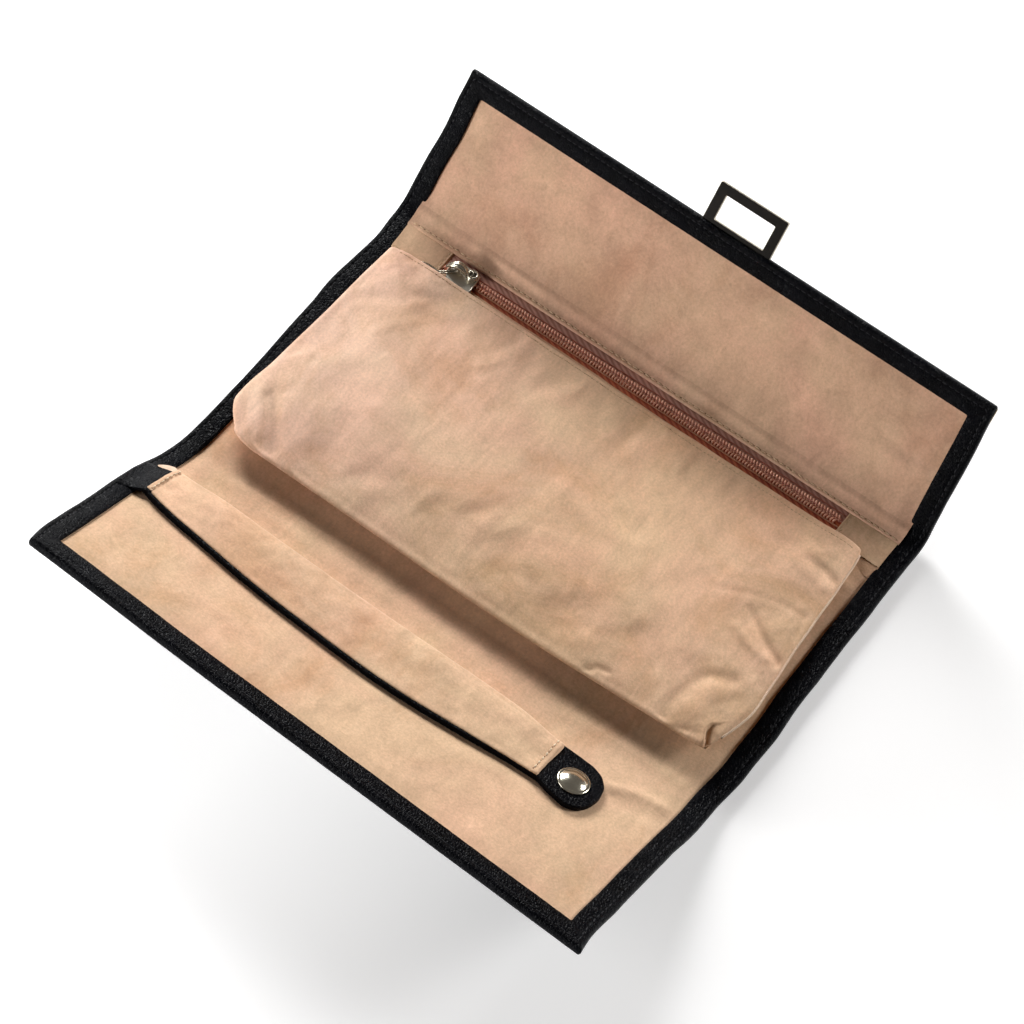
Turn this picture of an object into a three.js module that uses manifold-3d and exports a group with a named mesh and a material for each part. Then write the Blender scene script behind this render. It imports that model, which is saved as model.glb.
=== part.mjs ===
// Jewelry roll: a leather shell that folds in three, lined with suede, with a zipped pouch,
// a padded ring bar and a metal frame clasp. Millimetres, +Z up, opened out as for use.
// X runs along the width, Y from the front flap to the clasp flap. The origin lies under
// the middle of the centre panel.
import * as THREE from "three";
import { RoundedBoxGeometry } from "three/addons/geometries/RoundedBoxGeometry.js";
import { mergeVertices } from "three/addons/utils/BufferGeometryUtils.js";
import Module from "manifold-3d";

const wasm = await Module();
wasm.setup();

// Shell
const rollWidth = 250;
const centreLength = 118.4;
const frontSpineLength = 16;
const frontFlapLength = 84;
const backFlapLength = 64.8;
const borderWidth = 8.8;
const edgeRadius = 1.2;
const foldHalfGap = 2.8;
const leatherThickness = 0.9;
const boardThickness = 1.1;
const liningThickness = 0.8;
const lipThickness = 0.6;
const layerGap = 0.2;
const liningTuck = 5;
const closingClearance = 0.6;
const foldSegmentCount = 4;

// Angles of the folds as the roll lies open
const frontSpineRestDegrees = 12;
const frontFlapRestDegrees = 12;
const backFlapRestDegrees = 52;
const pouchRestDegrees = 4.2;

// Clasp frame on the back flap
const frameCentreX = 2.5;
const frameWidth = 31.7;
const frameReach = 16.9;
const frameSeat = 6.4;
const frameThickness = 1.9;
const frameWindowWidth = 22.7;
const frameWindowDepth = 12.6;
const frameCornerRadius = 0.8;
const frameClearance = 0.3;

// Turn lock under the front flap
const lockBaseWidth = 20;
const lockBaseDepth = 10.2;
const lockBaseThickness = 1.2;
const lockStemDiameter = 5;
const lockStemClearance = 0.3;
const lockHeadDiameter = 7;
const lockHeadThickness = 0.4;
const knobLength = 20.5;
const knobWidth = 7.4;
const knobHeight = 2.6;
const knobClearance = 0.4;
const prongWidth = 4;
const prongThickness = 0.8;
const prongInset = 3.2;
const backingThickness = 0.6;
const backingWidth = 19;
const backingDepth = 9.4;
const prongHoleClearance = 0.25;

// Zip in the back spine
const zipOffset = 8.6;
const zipHalfGap = 0.6;
const zipLeftMargin = 30.4;
const zipRightMargin = 29.6;
const coilWidth = 1.8;
const coilHeight = 1.6;
const coilPitch = 1.45;
const coilValleyShare = 0.6;
const coilSlantShare = 0.3;
const coilSides = 6;
const tapeThickness = 0.4;
const tapeEndReach = 12;
const tapeRise = 1.3;
const facingWidth = 3.2;
const facingThickness = 1.4;
const endTabThickness = 1.2;

// Slider and pull
const sliderParking = 9.6;
const sliderLength = 12;
const sliderShoulderWidth = 7.2;
const sliderTailWidth = 5.9;
const sliderPlateThickness = 0.8;
const sliderGap = 0.3;
const sliderNotchShare = 0.8;
const sliderFlangeThickness = 0.55;
const sliderFlangeDrop = 1.4;
const sliderPostLength = 2.6;
const sliderPostThickness = 0.6;
const sliderUnderGap = 0.3;
const sliderUnderThickness = 0.6;
const bailX = -1.6;
const bailHalfLength = 4.2;
const bailHeight = 2.8;
const bailThickness = 1;
const bailWidth = 1.8;
const bailEyeX = 3.7;
const bailEyeRadius = 2.4;
const bailEyeBore = 1.3;
const bailEyeThickness = 0.8;
const pullLength = 17.5;
const pullTabWidth = 4.6;
const pullHeadLength = 6;
const pullHeadWidth = 7.4;
const pullThickness = 0.8;
const pullBarWidth = 1;
const pullSlotLength = 4.2;
const pullSlotWidth = 5.4;
const pullRise = 0.75;
const pullRestDegrees = 7;

// Pouch
const pouchLeftMargin = 11;
const pouchRightMargin = 16.5;
const pouchLeftSplay = 3.4;
const pouchRightSplay = 7;
const pouchLength = 107.5;
const pouchCornerRadius = 12;
const pouchHingeOffset = 2.4;
const pouchHingeRise = 3.4;
const pouchCrown = 2;
const pouchRim = 0.7;
const pouchWall = 0.8;
const pouchBunchShare = 1.8;
const pouchRimShare = 0.02;
const pouchRiseShare = 0.5;
const pouchHemThickness = 2;
const pouchHemReach = 4.2;

// Ring bar on the front flap
const barLeftMargin = 11.4;
const barSuedeRightMargin = 55;
const barFarEdge = 7.4;
const barLeftNearEdge = 23;
const barRightNearEdge = 29.6;
const barBow = 14;
const barBowSkewShare = 1.25;
const barBackRise = 2.5;
const barBackThickness = 1.1;
const barCrown = 4.5;
const barRim = 1.4;
const barSuedeThickness = 0.7;
const barOverhang = 0.6;
const barTabReach = 22.5;
const barTabRadius = 9.4;
const barTabFarEdge = 9;
const barTabNearEdge = 30;
const barHingeGap = 0.8;
const strapMargin = 1.4;
const strapWidth = 8.6;
const strapThickness = 1.1;

// Snap fastener
const snapReach = 11.6;
const snapEdge = 20.6;
const snapCapDiameter = 13;
const snapCapHeight = 1.8;
const snapCapRadiusShares = [1, 0.84, 0.5];
const snapCapHeightShares = [0.25, 0.75, 0.94];
const snapSocketDiameter = 10.4;
const snapSocketHeight = 1.3;
const snapStudBaseDiameter = 9.6;
const snapStudBaseThickness = 0.6;
const snapStudDiameter = 4;
const snapStudHeight = 1.2;
const snapPostDiameter = 2.4;
const snapHoleDiameter = 3;
const snapPostHeadDiameter = 7.6;
const snapPostHeadThickness = 0.6;
const snapSeatGap = 0.2;

// One overrun serves all cuts, and nearer points than the weld distance are one point
const weldDistance = 0.0005;
const overrun = 1;

// Levels of a panel, measured from its middle plane, where its folds turn
const panelThickness =
  leatherThickness + boardThickness + liningThickness + lipThickness + 3 * layerGap;
const zUnder = -panelThickness / 2;
const zLeatherTop = zUnder + leatherThickness;
const zBoard = zLeatherTop + layerGap;
const zLining = zBoard + boardThickness + layerGap;
const zLiningTop = zLining + liningThickness;
const zLip = zLiningTop + layerGap;
const zTop = zLip + lipThickness;

// The back spine is as deep as the folded stack that lies under the back flap
const backSpineLength = frontSpineLength + panelThickness + closingClearance;
const frontFoldY = -centreLength / 2;
const backFoldY = centreLength / 2;
const halfWidth = rollWidth / 2;
const windowHalfWidth = halfWidth - borderWidth;
const liningHalfWidth = windowHalfWidth + liningTuck;
const zipLeftX = -halfWidth + zipLeftMargin;
const zipRightX = halfWidth - zipRightMargin;
const sliderX = zipLeftX + sliderParking;
const pouchLeftX = -halfWidth + pouchLeftMargin;
const pouchRightX = halfWidth - pouchRightMargin;
const barLeftX = -halfWidth + barLeftMargin;
const barSuedeRightX = halfWidth - barSuedeRightMargin;
const barHingeX = barLeftX - barHingeGap;
const strapLeftX = -halfWidth + strapMargin;
const strapRightX = strapLeftX + strapWidth;
const snapX = barSuedeRightX + snapReach;
const boardHalfWidth = halfWidth - leatherThickness - layerGap;

const materials = {
  leather: material(0x0c0e13, 0.5, 0),
  suede: material(0xdcb593, 0.95, 0),
  board: material(0xb9a98c, 0.9, 0),
  padding: material(0xe8e4da, 1, 0),
  tape: material(0x9a5a48, 0.9, 0),
  coil: material(0xc98f7c, 0.6, 0),
  metal: material(0xc9c2ae, 0.25, 1),
};

function material(color, roughness, metalness) {
  return new THREE.MeshStandardMaterial({ color, roughness, metalness });
}

const radians = (degrees) => (degrees * Math.PI) / 180;

// Solids are joined and cut as closed bodies with merged vertices

function solid(geometry) {
  const bare = new THREE.BufferGeometry();
  const source = geometry.index ? geometry.toNonIndexed() : geometry;
  bare.setAttribute("position", source.getAttribute("position").clone());
  const merged = mergeVertices(bare, weldDistance);
  return new wasm.Manifold(
    new wasm.Mesh({
      numProp: 3,
      vertProperties: new Float32Array(merged.attributes.position.array),
      triVerts: new Uint32Array(merged.index.array),
    }),
  );
}

function meshOf(name, body, materialOf) {
  const raw = body.getMesh();
  const geometry = new THREE.BufferGeometry();
  geometry.setAttribute("position", new THREE.BufferAttribute(raw.vertProperties, 3));
  geometry.setIndex(new THREE.BufferAttribute(raw.triVerts, 1));
  geometry.computeVertexNormals();
  const mesh = new THREE.Mesh(geometry, materialOf);
  mesh.name = name;
  return mesh;
}

function block([x0, x1], [y0, y1], [z0, z1]) {
  const [left, right] = [Math.min(x0, x1), Math.max(x0, x1)];
  const [front, back] = [Math.min(y0, y1), Math.max(y0, y1)];
  const box = new THREE.BoxGeometry(right - left, back - front, z1 - z0);
  box.translate((left + right) / 2, (front + back) / 2, (z0 + z1) / 2);
  return solid(box);
}

function cylinder(diameter, z0, z1, x = 0, y = 0, sides = 32) {
  const shape = new THREE.CylinderGeometry(diameter / 2, diameter / 2, z1 - z0, sides);
  shape.rotateX(Math.PI / 2);
  shape.translate(x, y, (z0 + z1) / 2);
  return solid(shape);
}

// Arcs and lines that meet leave doubled points, which are dropped
function distinct(points) {
  return points.filter((p, i) => {
    const next = points[(i + 1) % points.length];
    return p.distanceTo(next) > weldDistance;
  });
}

function slabOf(shape, z0, z1, curveSegments = 8) {
  const outline = shape.extractPoints(curveSegments);
  const clean = new THREE.Shape(distinct(outline.shape));
  clean.holes = outline.holes.map((hole) => new THREE.Path(distinct(hole)));
  const geometry = new THREE.ExtrudeGeometry(clean, { depth: z1 - z0, bevelEnabled: false });
  geometry.translate(0, 0, z0);
  return solid(geometry);
}

function revolved(profile, x = 0, y = 0, segments = 32) {
  const geometry = new THREE.LatheGeometry(
    profile.map(([r, z]) => new THREE.Vector2(r, z)),
    segments,
  );
  geometry.rotateX(Math.PI / 2);
  geometry.translate(x, y, 0);
  return solid(geometry);
}

// A rectangle with round corners, centred on a point
function roundedRectangle(width, depth, radius, x = 0, y = 0) {
  const [w, d] = [width / 2, depth / 2];
  const shape = new THREE.Shape();
  shape.moveTo(x - w + radius, y - d);
  shape.lineTo(x + w - radius, y - d);
  shape.absarc(x + w - radius, y - d + radius, radius, -Math.PI / 2, 0);
  shape.absarc(x + w - radius, y + d - radius, radius, 0, Math.PI / 2);
  shape.absarc(x - w + radius, y + d - radius, radius, Math.PI / 2, Math.PI);
  shape.absarc(x - w + radius, y - d + radius, radius, Math.PI, 1.5 * Math.PI);
  return shape;
}

// A prism along X with a section drawn in Y and Z
function prismAlongX(section, [x0, x1]) {
  const shape = new THREE.Shape(section.map(([y, z]) => new THREE.Vector2(y, z)));
  const geometry = new THREE.ExtrudeGeometry(shape, {
    depth: x1 - x0,
    bevelEnabled: false,
  });
  geometry.rotateY(Math.PI / 2);
  geometry.rotateX(Math.PI / 2);
  geometry.translate(x0, 0, 0);
  return solid(geometry);
}

// A panel's sides: a panel runs from its fold, along Y by "way", to its far end

// The outer leather of one panel, its edges turned in over the lining as a border
function leatherCover({ from, to, way, closed }) {
  const extra = 2 * edgeRadius;
  const far = closed ? to : to + extra;
  const near = from - extra;
  const slab = new RoundedBoxGeometry(rollWidth, far - near, panelThickness, 2, edgeRadius);
  slab.translate(0, (way * (far + near)) / 2, 0);
  const whole = solid(slab).intersect(
    block([-halfWidth - overrun, halfWidth + overrun], [way * from, way * (closed ? to + overrun : to)], [
      zUnder - overrun,
      zTop + overrun,
    ]),
  );
  const wall = halfWidth - leatherThickness;
  const pocketEnd = closed ? to - leatherThickness : to + overrun;
  const pocket = block([-wall, wall], [way * (from - overrun), way * pocketEnd], [zLeatherTop, zLip]);
  const windowEnd = closed ? to - borderWidth : to + overrun;
  const window = block(
    [-windowHalfWidth, windowHalfWidth],
    [way * (from - overrun), way * windowEnd],
    [0, zTop + overrun],
  );
  return whole.subtract(pocket).subtract(window);
}

function stiffBoard({ from, to, way, closed }) {
  const end = closed ? to - leatherThickness - layerGap : to;
  return block([-boardHalfWidth, boardHalfWidth], [way * from, way * end], [zBoard, zBoard + boardThickness]);
}

function suedeLining({ from, to, way, closed }) {
  const end = closed ? to - borderWidth + liningTuck : to;
  return block([-liningHalfWidth, liningHalfWidth], [way * from, way * end], [zLining, zLiningTop]);
}

// A strip that crosses a fold: it runs from one level before the fold to another after it
function foldSection([a0, a1], [b0, b1], degrees, way) {
  const reach = foldHalfGap - layerGap;
  const turn = radians(degrees);
  const under = [];
  const over = [];
  for (let i = 0; i <= foldSegmentCount; i++) {
    const t = i / foldSegmentCount;
    const along = (2 * t - 1) * reach;
    const middleTurn = along > 0 ? turn : 0;
    const point = (z) => [
      way * (along * Math.cos(middleTurn) - z * Math.sin(turn * t)),
      along * Math.sin(middleTurn) + z * Math.cos(turn * t),
    ];
    under.push(point(a0 + (b0 - a0) * t));
    over.push(point(a1 + (b1 - a1) * t));
  }
  const section = [...under, ...over.reverse()];
  return way < 0 ? section.reverse() : section;
}

function foldLeather(degrees, way) {
  const strip = (z0, z1, xs) => prismAlongX(foldSection([z0, z1], [z0, z1], degrees, way), xs);
  let body = strip(zUnder, zLeatherTop, [-halfWidth, halfWidth]);
  for (const side of [-1, 1]) {
    const wall = [side * halfWidth, side * (halfWidth - leatherThickness)].sort((a, b) => a - b);
    const lip = [side * halfWidth, side * windowHalfWidth].sort((a, b) => a - b);
    body = body.add(strip(zUnder, zTop, wall)).add(strip(zLip, zTop, lip));
  }
  return body;
}

function foldSuede(levelsBefore, levelsAfter, degrees, way) {
  const section = foldSection(levelsBefore, levelsAfter, degrees, way);
  const half = levelsBefore === liningLevels ? liningHalfWidth : windowHalfWidth - layerGap;
  return prismAlongX(section, [-half, half]);
}

// A solid with a flat bottom and a crowned top between two edge lines
function crowned({ rows, columns, edgeA, edgeB, bottom, top, rowAt = (u) => u }) {
  const positions = [];
  const index = [];
  const stride = columns + 1;
  const layer = (rows + 1) * stride;
  for (const level of [0, 1]) {
    for (let i = 0; i <= rows; i++) {
      const t = rowAt(i / rows);
      const [ax, ay] = edgeA(t);
      const [bx, by] = edgeB(t);
      for (let j = 0; j <= columns; j++) {
        const w = j / columns;
        positions.push(ax + (bx - ax) * w, ay + (by - ay) * w, level ? top(t, w) : bottom);
      }
    }
  }
  const quad = (a, b, c, d) => index.push(a, b, c, a, c, d);
  const at = (level, i, j) => level * layer + i * stride + j;
  for (let i = 0; i < rows; i++) {
    for (let j = 0; j < columns; j++) {
      quad(at(1, i, j), at(1, i + 1, j), at(1, i + 1, j + 1), at(1, i, j + 1));
      quad(at(0, i, j), at(0, i, j + 1), at(0, i + 1, j + 1), at(0, i + 1, j));
    }
    quad(at(0, i, 0), at(0, i + 1, 0), at(1, i + 1, 0), at(1, i, 0));
    quad(at(0, i, columns), at(1, i, columns), at(1, i + 1, columns), at(0, i + 1, columns));
  }
  for (let j = 0; j < columns; j++) {
    quad(at(0, 0, j), at(1, 0, j), at(1, 0, j + 1), at(0, 0, j + 1));
    quad(at(0, rows, j), at(0, rows, j + 1), at(1, rows, j + 1), at(1, rows, j));
  }
  const geometry = new THREE.BufferGeometry();
  geometry.setAttribute("position", new THREE.Float32BufferAttribute(positions, 3));
  geometry.setIndex(index);
  const body = solid(geometry);
  if (body.volume() > 0) return body;
  geometry.setIndex(index.reverse());
  return solid(geometry);
}

// Bodies as nested groups, each with its origin on the axis it turns about
const jewelryRoll = new THREE.Group();
jewelryRoll.name = "jewelry_roll";

const centre = new THREE.Group();
centre.position.z = panelThickness / 2;
jewelryRoll.add(centre);

const frontSpine = new THREE.Group();
frontSpine.position.y = frontFoldY;
frontSpine.rotation.x = -radians(frontSpineRestDegrees);
centre.add(frontSpine);

const frontFlap = new THREE.Group();
frontFlap.position.y = -frontSpineLength;
frontFlap.rotation.x = -radians(frontFlapRestDegrees);
frontSpine.add(frontFlap);

const backSpine = new THREE.Group();
backSpine.position.y = backFoldY;
centre.add(backSpine);

const backFlap = new THREE.Group();
backFlap.position.y = backSpineLength;
backFlap.rotation.x = radians(backFlapRestDegrees);
backSpine.add(backFlap);

// Centre panel
const centreSpan = {
  from: -centreLength / 2 + foldHalfGap,
  to: centreLength / 2 - foldHalfGap,
  way: 1,
  closed: false,
};
centre.add(
  meshOf("centre_cover", leatherCover(centreSpan), materials.leather),
  meshOf("centre_board", stiffBoard(centreSpan), materials.board),
  meshOf("centre_lining", suedeLining(centreSpan), materials.suede),
);

// Front spine and the two folds beside it
const frontSpineSpan = {
  from: foldHalfGap,
  to: frontSpineLength - foldHalfGap,
  way: -1,
  closed: false,
};
frontSpine.add(
  meshOf("front_spine_cover", leatherCover(frontSpineSpan), materials.leather),
  meshOf("front_spine_padding", stiffBoard(frontSpineSpan), materials.padding),
  meshOf("front_spine_lining", suedeLining(frontSpineSpan), materials.suede),
);
const liningLevels = [zLining, zLiningTop];

function addFold(name, parent, y, degrees, way, before = liningLevels, after = liningLevels) {
  const fold = new THREE.Group();
  fold.position.y = y;
  fold.add(
    meshOf(name + "_leather", foldLeather(degrees, way), materials.leather),
    meshOf(name + "_suede", foldSuede(before, after, degrees, way), materials.suede),
  );
  parent.add(fold);
}

addFold("front_fold_inner", centre, frontFoldY, frontSpineRestDegrees, -1);
addFold("front_fold_outer", frontSpine, -frontSpineLength, frontFlapRestDegrees, -1);

// Front flap
const lockY = -lockPlace();
const frontFlapSpan = { from: foldHalfGap, to: frontFlapLength, way: -1, closed: true };

// The turn lock stands where the frame's window comes down on the closed front flap
function lockPlace() {
  return centreLength - backFlapLength - frameWindowDepth / 2;
}

function prongBlocks(clearance, z0, z1) {
  let pair;
  for (const side of [-1, 1]) {
    const x = frameCentreX + side * (lockBaseWidth / 2 - prongInset);
    const half = prongThickness / 2 + clearance;
    const prong = block(
      [x - half, x + half],
      [lockY - prongWidth / 2 - clearance, lockY + prongWidth / 2 + clearance],
      [z0, z1],
    );
    pair = pair ? pair.add(prong) : prong;
  }
  return pair;
}

const snapY = -snapEdge;
const postHeadZ = zBoard + boardThickness - snapPostHeadThickness;
const snapHole = cylinder(snapHoleDiameter, postHeadZ - overrun, zTop, snapX, snapY);
const postHeadRecess = cylinder(
  snapPostHeadDiameter + 2 * layerGap,
  postHeadZ - layerGap,
  zTop,
  snapX,
  snapY,
);
const backingTop = zBoard + boardThickness;
const backingBottom = backingTop - backingThickness;
const backingRecess = slabOf(
  roundedRectangle(
    backingWidth + 2 * layerGap,
    backingDepth + 2 * layerGap,
    backingDepth / 4,
    frameCentreX,
    lockY,
  ),
  backingBottom - layerGap,
  backingTop + overrun,
);
const prongHoles = prongBlocks(prongHoleClearance, zUnder - overrun, backingTop + overrun);
frontFlap.add(
  meshOf(
    "front_cover",
    leatherCover(frontFlapSpan).subtract(
      prongBlocks(prongHoleClearance, zUnder - overrun, zLeatherTop + layerGap),
    ),
    materials.leather,
  ),
  meshOf(
    "front_board",
    stiffBoard(frontFlapSpan).subtract(prongHoles).subtract(backingRecess).subtract(postHeadRecess),
    materials.board,
  ),
  meshOf("front_lining", suedeLining(frontFlapSpan).subtract(snapHole), materials.suede),
);

// Snap stud, held by a post whose head lies under the lining
const studBaseZ = zLiningTop + snapSeatGap;
const studTop = studBaseZ + snapStudBaseThickness + snapStudHeight;
const studProfile = [
  [0, studBaseZ],
  [snapStudBaseDiameter / 2, studBaseZ],
  [snapStudBaseDiameter / 2, studBaseZ + snapStudBaseThickness / 2],
  [snapStudDiameter / 2, studBaseZ + snapStudBaseThickness],
  [snapStudDiameter / 2, studTop - snapStudHeight / 4],
  [snapStudDiameter / 3, studTop],
  [0, studTop],
];
const post = cylinder(snapPostDiameter, postHeadZ, studBaseZ - snapSeatGap / 2, snapX, snapY).add(
  cylinder(snapPostHeadDiameter, postHeadZ, postHeadZ + snapPostHeadThickness, snapX, snapY),
);
frontFlap.add(
  meshOf("snap_stud", revolved(studProfile, snapX, snapY), materials.metal),
  meshOf("snap_post", post, materials.metal),
);

// Turn lock: a base with two prongs through the leather and board to a backing plate
const lockBaseTop = zUnder - layerGap;
const lockBaseBottom = lockBaseTop - lockBaseThickness;
const lockRound = (diameter, z0, z1) => cylinder(diameter, z0, z1, frameCentreX, lockY);
const lockBase = slabOf(
  roundedRectangle(lockBaseWidth, lockBaseDepth, lockBaseDepth / 3, frameCentreX, lockY),
  lockBaseBottom,
  lockBaseTop,
)
  .add(prongBlocks(0, lockBaseTop, backingTop))
  .subtract(
    lockRound(lockStemDiameter + 2 * lockStemClearance, lockBaseBottom - overrun, lockBaseTop),
  )
  .subtract(
    lockRound(
      lockHeadDiameter + 2 * lockStemClearance,
      lockBaseTop - lockHeadThickness - 2 * layerGap,
      lockBaseTop + layerGap / 2,
    ),
  );
const backing = slabOf(
  roundedRectangle(backingWidth, backingDepth, backingDepth / 4, frameCentreX, lockY),
  backingBottom,
  backingTop,
).subtract(prongHoles);
frontFlap.add(
  meshOf("lock_base", lockBase, materials.metal),
  meshOf("lock_backing", backing, materials.metal),
);

// When closed, the back flap lies between the base and the knob, with the base in its frame
const closedFlapReach = backSpineLength - frontSpineLength;
const knobTop = zUnder - closedFlapReach - knobClearance;
const lockKnob = new THREE.Group();
lockKnob.position.set(frameCentreX, lockY, 0);
const knobShape = new THREE.Shape();
knobShape.absarc(knobLength / 2 - knobWidth / 2, 0, knobWidth / 2, -Math.PI / 2, Math.PI / 2);
knobShape.absarc(-knobLength / 2 + knobWidth / 2, 0, knobWidth / 2, Math.PI / 2, 1.5 * Math.PI);
const lockHeadTop = lockBaseTop - layerGap;
const knobSolid = slabOf(knobShape, knobTop - knobHeight, knobTop, 10)
  .add(cylinder(lockStemDiameter, knobTop - knobHeight / 2, lockHeadTop))
  .add(cylinder(lockHeadDiameter, lockHeadTop - lockHeadThickness, lockHeadTop));
lockKnob.add(meshOf("lock_knob", knobSolid, materials.metal));
frontFlap.add(lockKnob);

// Ring bar: a strap on the left border carries a leather back with a padded suede top
const strapZ = zTop + layerGap;
const strap = block(
  [strapLeftX, strapRightX],
  [-barFarEdge, -barLeftNearEdge],
  [strapZ, strapZ + strapThickness],
);
frontFlap.add(meshOf("bar_strap", strap, materials.leather));

const barBackZ = zLiningTop + barBackRise;
const barBackTop = barBackZ + barBackThickness;
const ringBar = new THREE.Group();
ringBar.position.set(barHingeX, 0, strapZ + strapThickness / 2);
const barOrigin = ringBar.position;
const barLength = barSuedeRightX - barLeftX;

const barNear = (t, grow = 0) => [
  barLeftX + barLength * t,
  -(barLeftNearEdge +
    (barRightNearEdge - barLeftNearEdge) * t +
    barBow * Math.sin(Math.PI * t ** barBowSkewShare) +
    grow),
];
const barFar = (t, grow = 0) => [barLeftX + barLength * t, -(barFarEdge - grow)];

// The back narrows to a tab with a round end beyond the suede
function barBackShape() {
  const steps = 16;
  const shape = new THREE.Shape();
  const [startX, startY] = barFar(0, -barOverhang);
  shape.moveTo(startX, startY);
  for (let i = 0; i <= steps; i++) shape.lineTo(...barNear(i / steps, -barOverhang));
  const endX = barSuedeRightX + barTabReach - barTabRadius;
  shape.lineTo(endX, -barTabNearEdge);
  shape.absarc(endX, -barTabNearEdge + barTabRadius, barTabRadius, -Math.PI / 2, 0);
  shape.absarc(endX, -barTabFarEdge - barTabRadius, barTabRadius, 0, Math.PI / 2);
  shape.lineTo(barSuedeRightX, -barTabFarEdge);
  return shape;
}

function barDome({ inset, bottom, crown, rim, rows, columns }) {
  const share = inset / barLength;
  const t = (u) => share + (1 - 2 * share) * u;
  return crowned({
    rows,
    columns,
    edgeA: (u) => barNear(t(u), -inset),
    edgeB: (u) => barFar(t(u), -inset),
    bottom,
    top: (u, w) => {
      const across = Math.sqrt(Math.max(0, 1 - (2 * w - 1) ** 4));
      const along = Math.sqrt(Math.max(0, Math.sin(Math.PI * u)));
      return bottom + rim + (crown - rim) * across * along;
    },
  });
}

const barPadZ = barBackTop + layerGap;
const barSuede = barDome({
  inset: 0,
  bottom: barPadZ,
  crown: barCrown,
  rim: barRim,
  rows: 28,
  columns: 10,
}).subtract(
  barDome({
    inset: barSuedeThickness,
    bottom: barPadZ - overrun,
    crown: barCrown + overrun - barSuedeThickness,
    rim: barRim + overrun - barSuedeThickness,
    rows: 28,
    columns: 10,
  }),
);
const barPadding = barDome({
  inset: barSuedeThickness + layerGap,
  bottom: barPadZ,
  crown: barCrown - barSuedeThickness - 2 * layerGap,
  rim: barRim - barSuedeThickness - layerGap,
  rows: 14,
  columns: 6,
});
const capTop = barBackTop + snapSeatGap + snapCapHeight;
const socketTop = barBackZ - snapSeatGap;
const socketBottom = socketTop - snapSocketHeight;
const capBase = barBackTop + snapSeatGap;
const capProfile = [
  [0, socketTop],
  [snapPostDiameter / 2, socketTop],
  [snapPostDiameter / 2, capBase],
  [snapCapDiameter / 2, capBase],
  ...snapCapRadiusShares.map((share, i) => [
    (share * snapCapDiameter) / 2,
    capBase + snapCapHeightShares[i] * snapCapHeight,
  ]),
  [0, capTop],
];
const socketProfile = [
  [snapStudDiameter / 2 + snapSeatGap, socketBottom],
  [snapSocketDiameter / 2, socketBottom],
  [snapSocketDiameter / 2, socketTop - snapSocketHeight / 4],
  [snapSocketDiameter / 2 - snapSocketHeight / 4, socketTop],
  [snapStudDiameter / 2 + snapSeatGap, socketTop],
  [snapStudDiameter / 2 + snapSeatGap, socketBottom],
];
for (const [name, body, finish] of [
  [
    "bar_back",
    slabOf(barBackShape(), barBackZ, barBackTop, 10).subtract(
      cylinder(snapHoleDiameter, barBackZ - overrun, barBackTop + overrun, snapX, snapY),
    ),
    materials.leather,
  ],
  ["bar_suede", barSuede, materials.suede],
  ["bar_padding", barPadding, materials.padding],
  ["snap_cap", revolved(capProfile, snapX, snapY), materials.metal],
  ["snap_socket", revolved(socketProfile, snapX, snapY), materials.metal],
]) {
  const mesh = meshOf(name, body, finish);
  mesh.position.copy(barOrigin).negate();
  ringBar.add(mesh);
}
frontFlap.add(ringBar);

// Back spine: the outer leather, the pocket lining, and the zip between two suede edges
const backSpineSpan = {
  from: foldHalfGap,
  to: backSpineLength - foldHalfGap,
  way: 1,
  closed: false,
};
const pocketLiningZ = zLeatherTop + layerGap;
const pocketLining = block(
  [-liningHalfWidth, liningHalfWidth],
  [backSpineSpan.from, backSpineSpan.to],
  [pocketLiningZ, pocketLiningZ + liningThickness],
);
const tapeZ = tapeRise;
const tapeTop = tapeZ + tapeThickness;
const facingY = backSpineSpan.to - facingWidth;
const facingZ = tapeTop + layerGap;
const tapeXs = [zipLeftX - tapeEndReach, zipRightX + tapeEndReach];
const tapes = {
  lower: block(tapeXs, [backSpineSpan.from, zipOffset - zipHalfGap], [tapeZ, tapeTop]),
  upper: block(tapeXs, [zipOffset + zipHalfGap, backSpineSpan.to], [tapeZ, tapeTop]),
};

// One row of the coil: a slanted tube that swells at each turn of the thread
function coilRow(side) {
  const count = Math.round((zipRightX - zipLeftX) / coilPitch);
  const pitch = (zipRightX - zipLeftX) / count;
  const ringCount = 2 * count + 1;
  const middleY = zipOffset + side * (zipHalfGap + coilWidth / 2);
  const middleZ = tapeTop + coilHeight / 2;
  const positions = [];
  const index = [];
  for (let i = 0; i < ringCount; i++) {
    const swell = i % 2 ? 1 : coilValleyShare;
    for (let k = 0; k < coilSides; k++) {
      const angle = (2 * Math.PI * (k + 0.5)) / coilSides;
      const y = (Math.cos(angle) * coilWidth * swell) / 2;
      const z = (Math.sin(angle) * coilHeight * swell) / 2;
      const x = zipLeftX + (i * pitch) / 2 + side * coilSlantShare * y;
      positions.push(x, middleY + y, middleZ + z);
    }
  }
  for (let i = 0; i + 1 < ringCount; i++) {
    for (let k = 0; k < coilSides; k++) {
      const [a, b] = [i * coilSides + k, i * coilSides + ((k + 1) % coilSides)];
      index.push(a, b, b + coilSides, a, b + coilSides, a + coilSides);
    }
  }
  const last = (ringCount - 1) * coilSides;
  for (let k = 1; k + 1 < coilSides; k++) {
    index.push(0, k + 1, k, last, last + k, last + k + 1);
  }
  const geometry = new THREE.BufferGeometry();
  geometry.setAttribute("position", new THREE.Float32BufferAttribute(positions, 3));
  geometry.setIndex(index);
  return solid(geometry);
}

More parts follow.
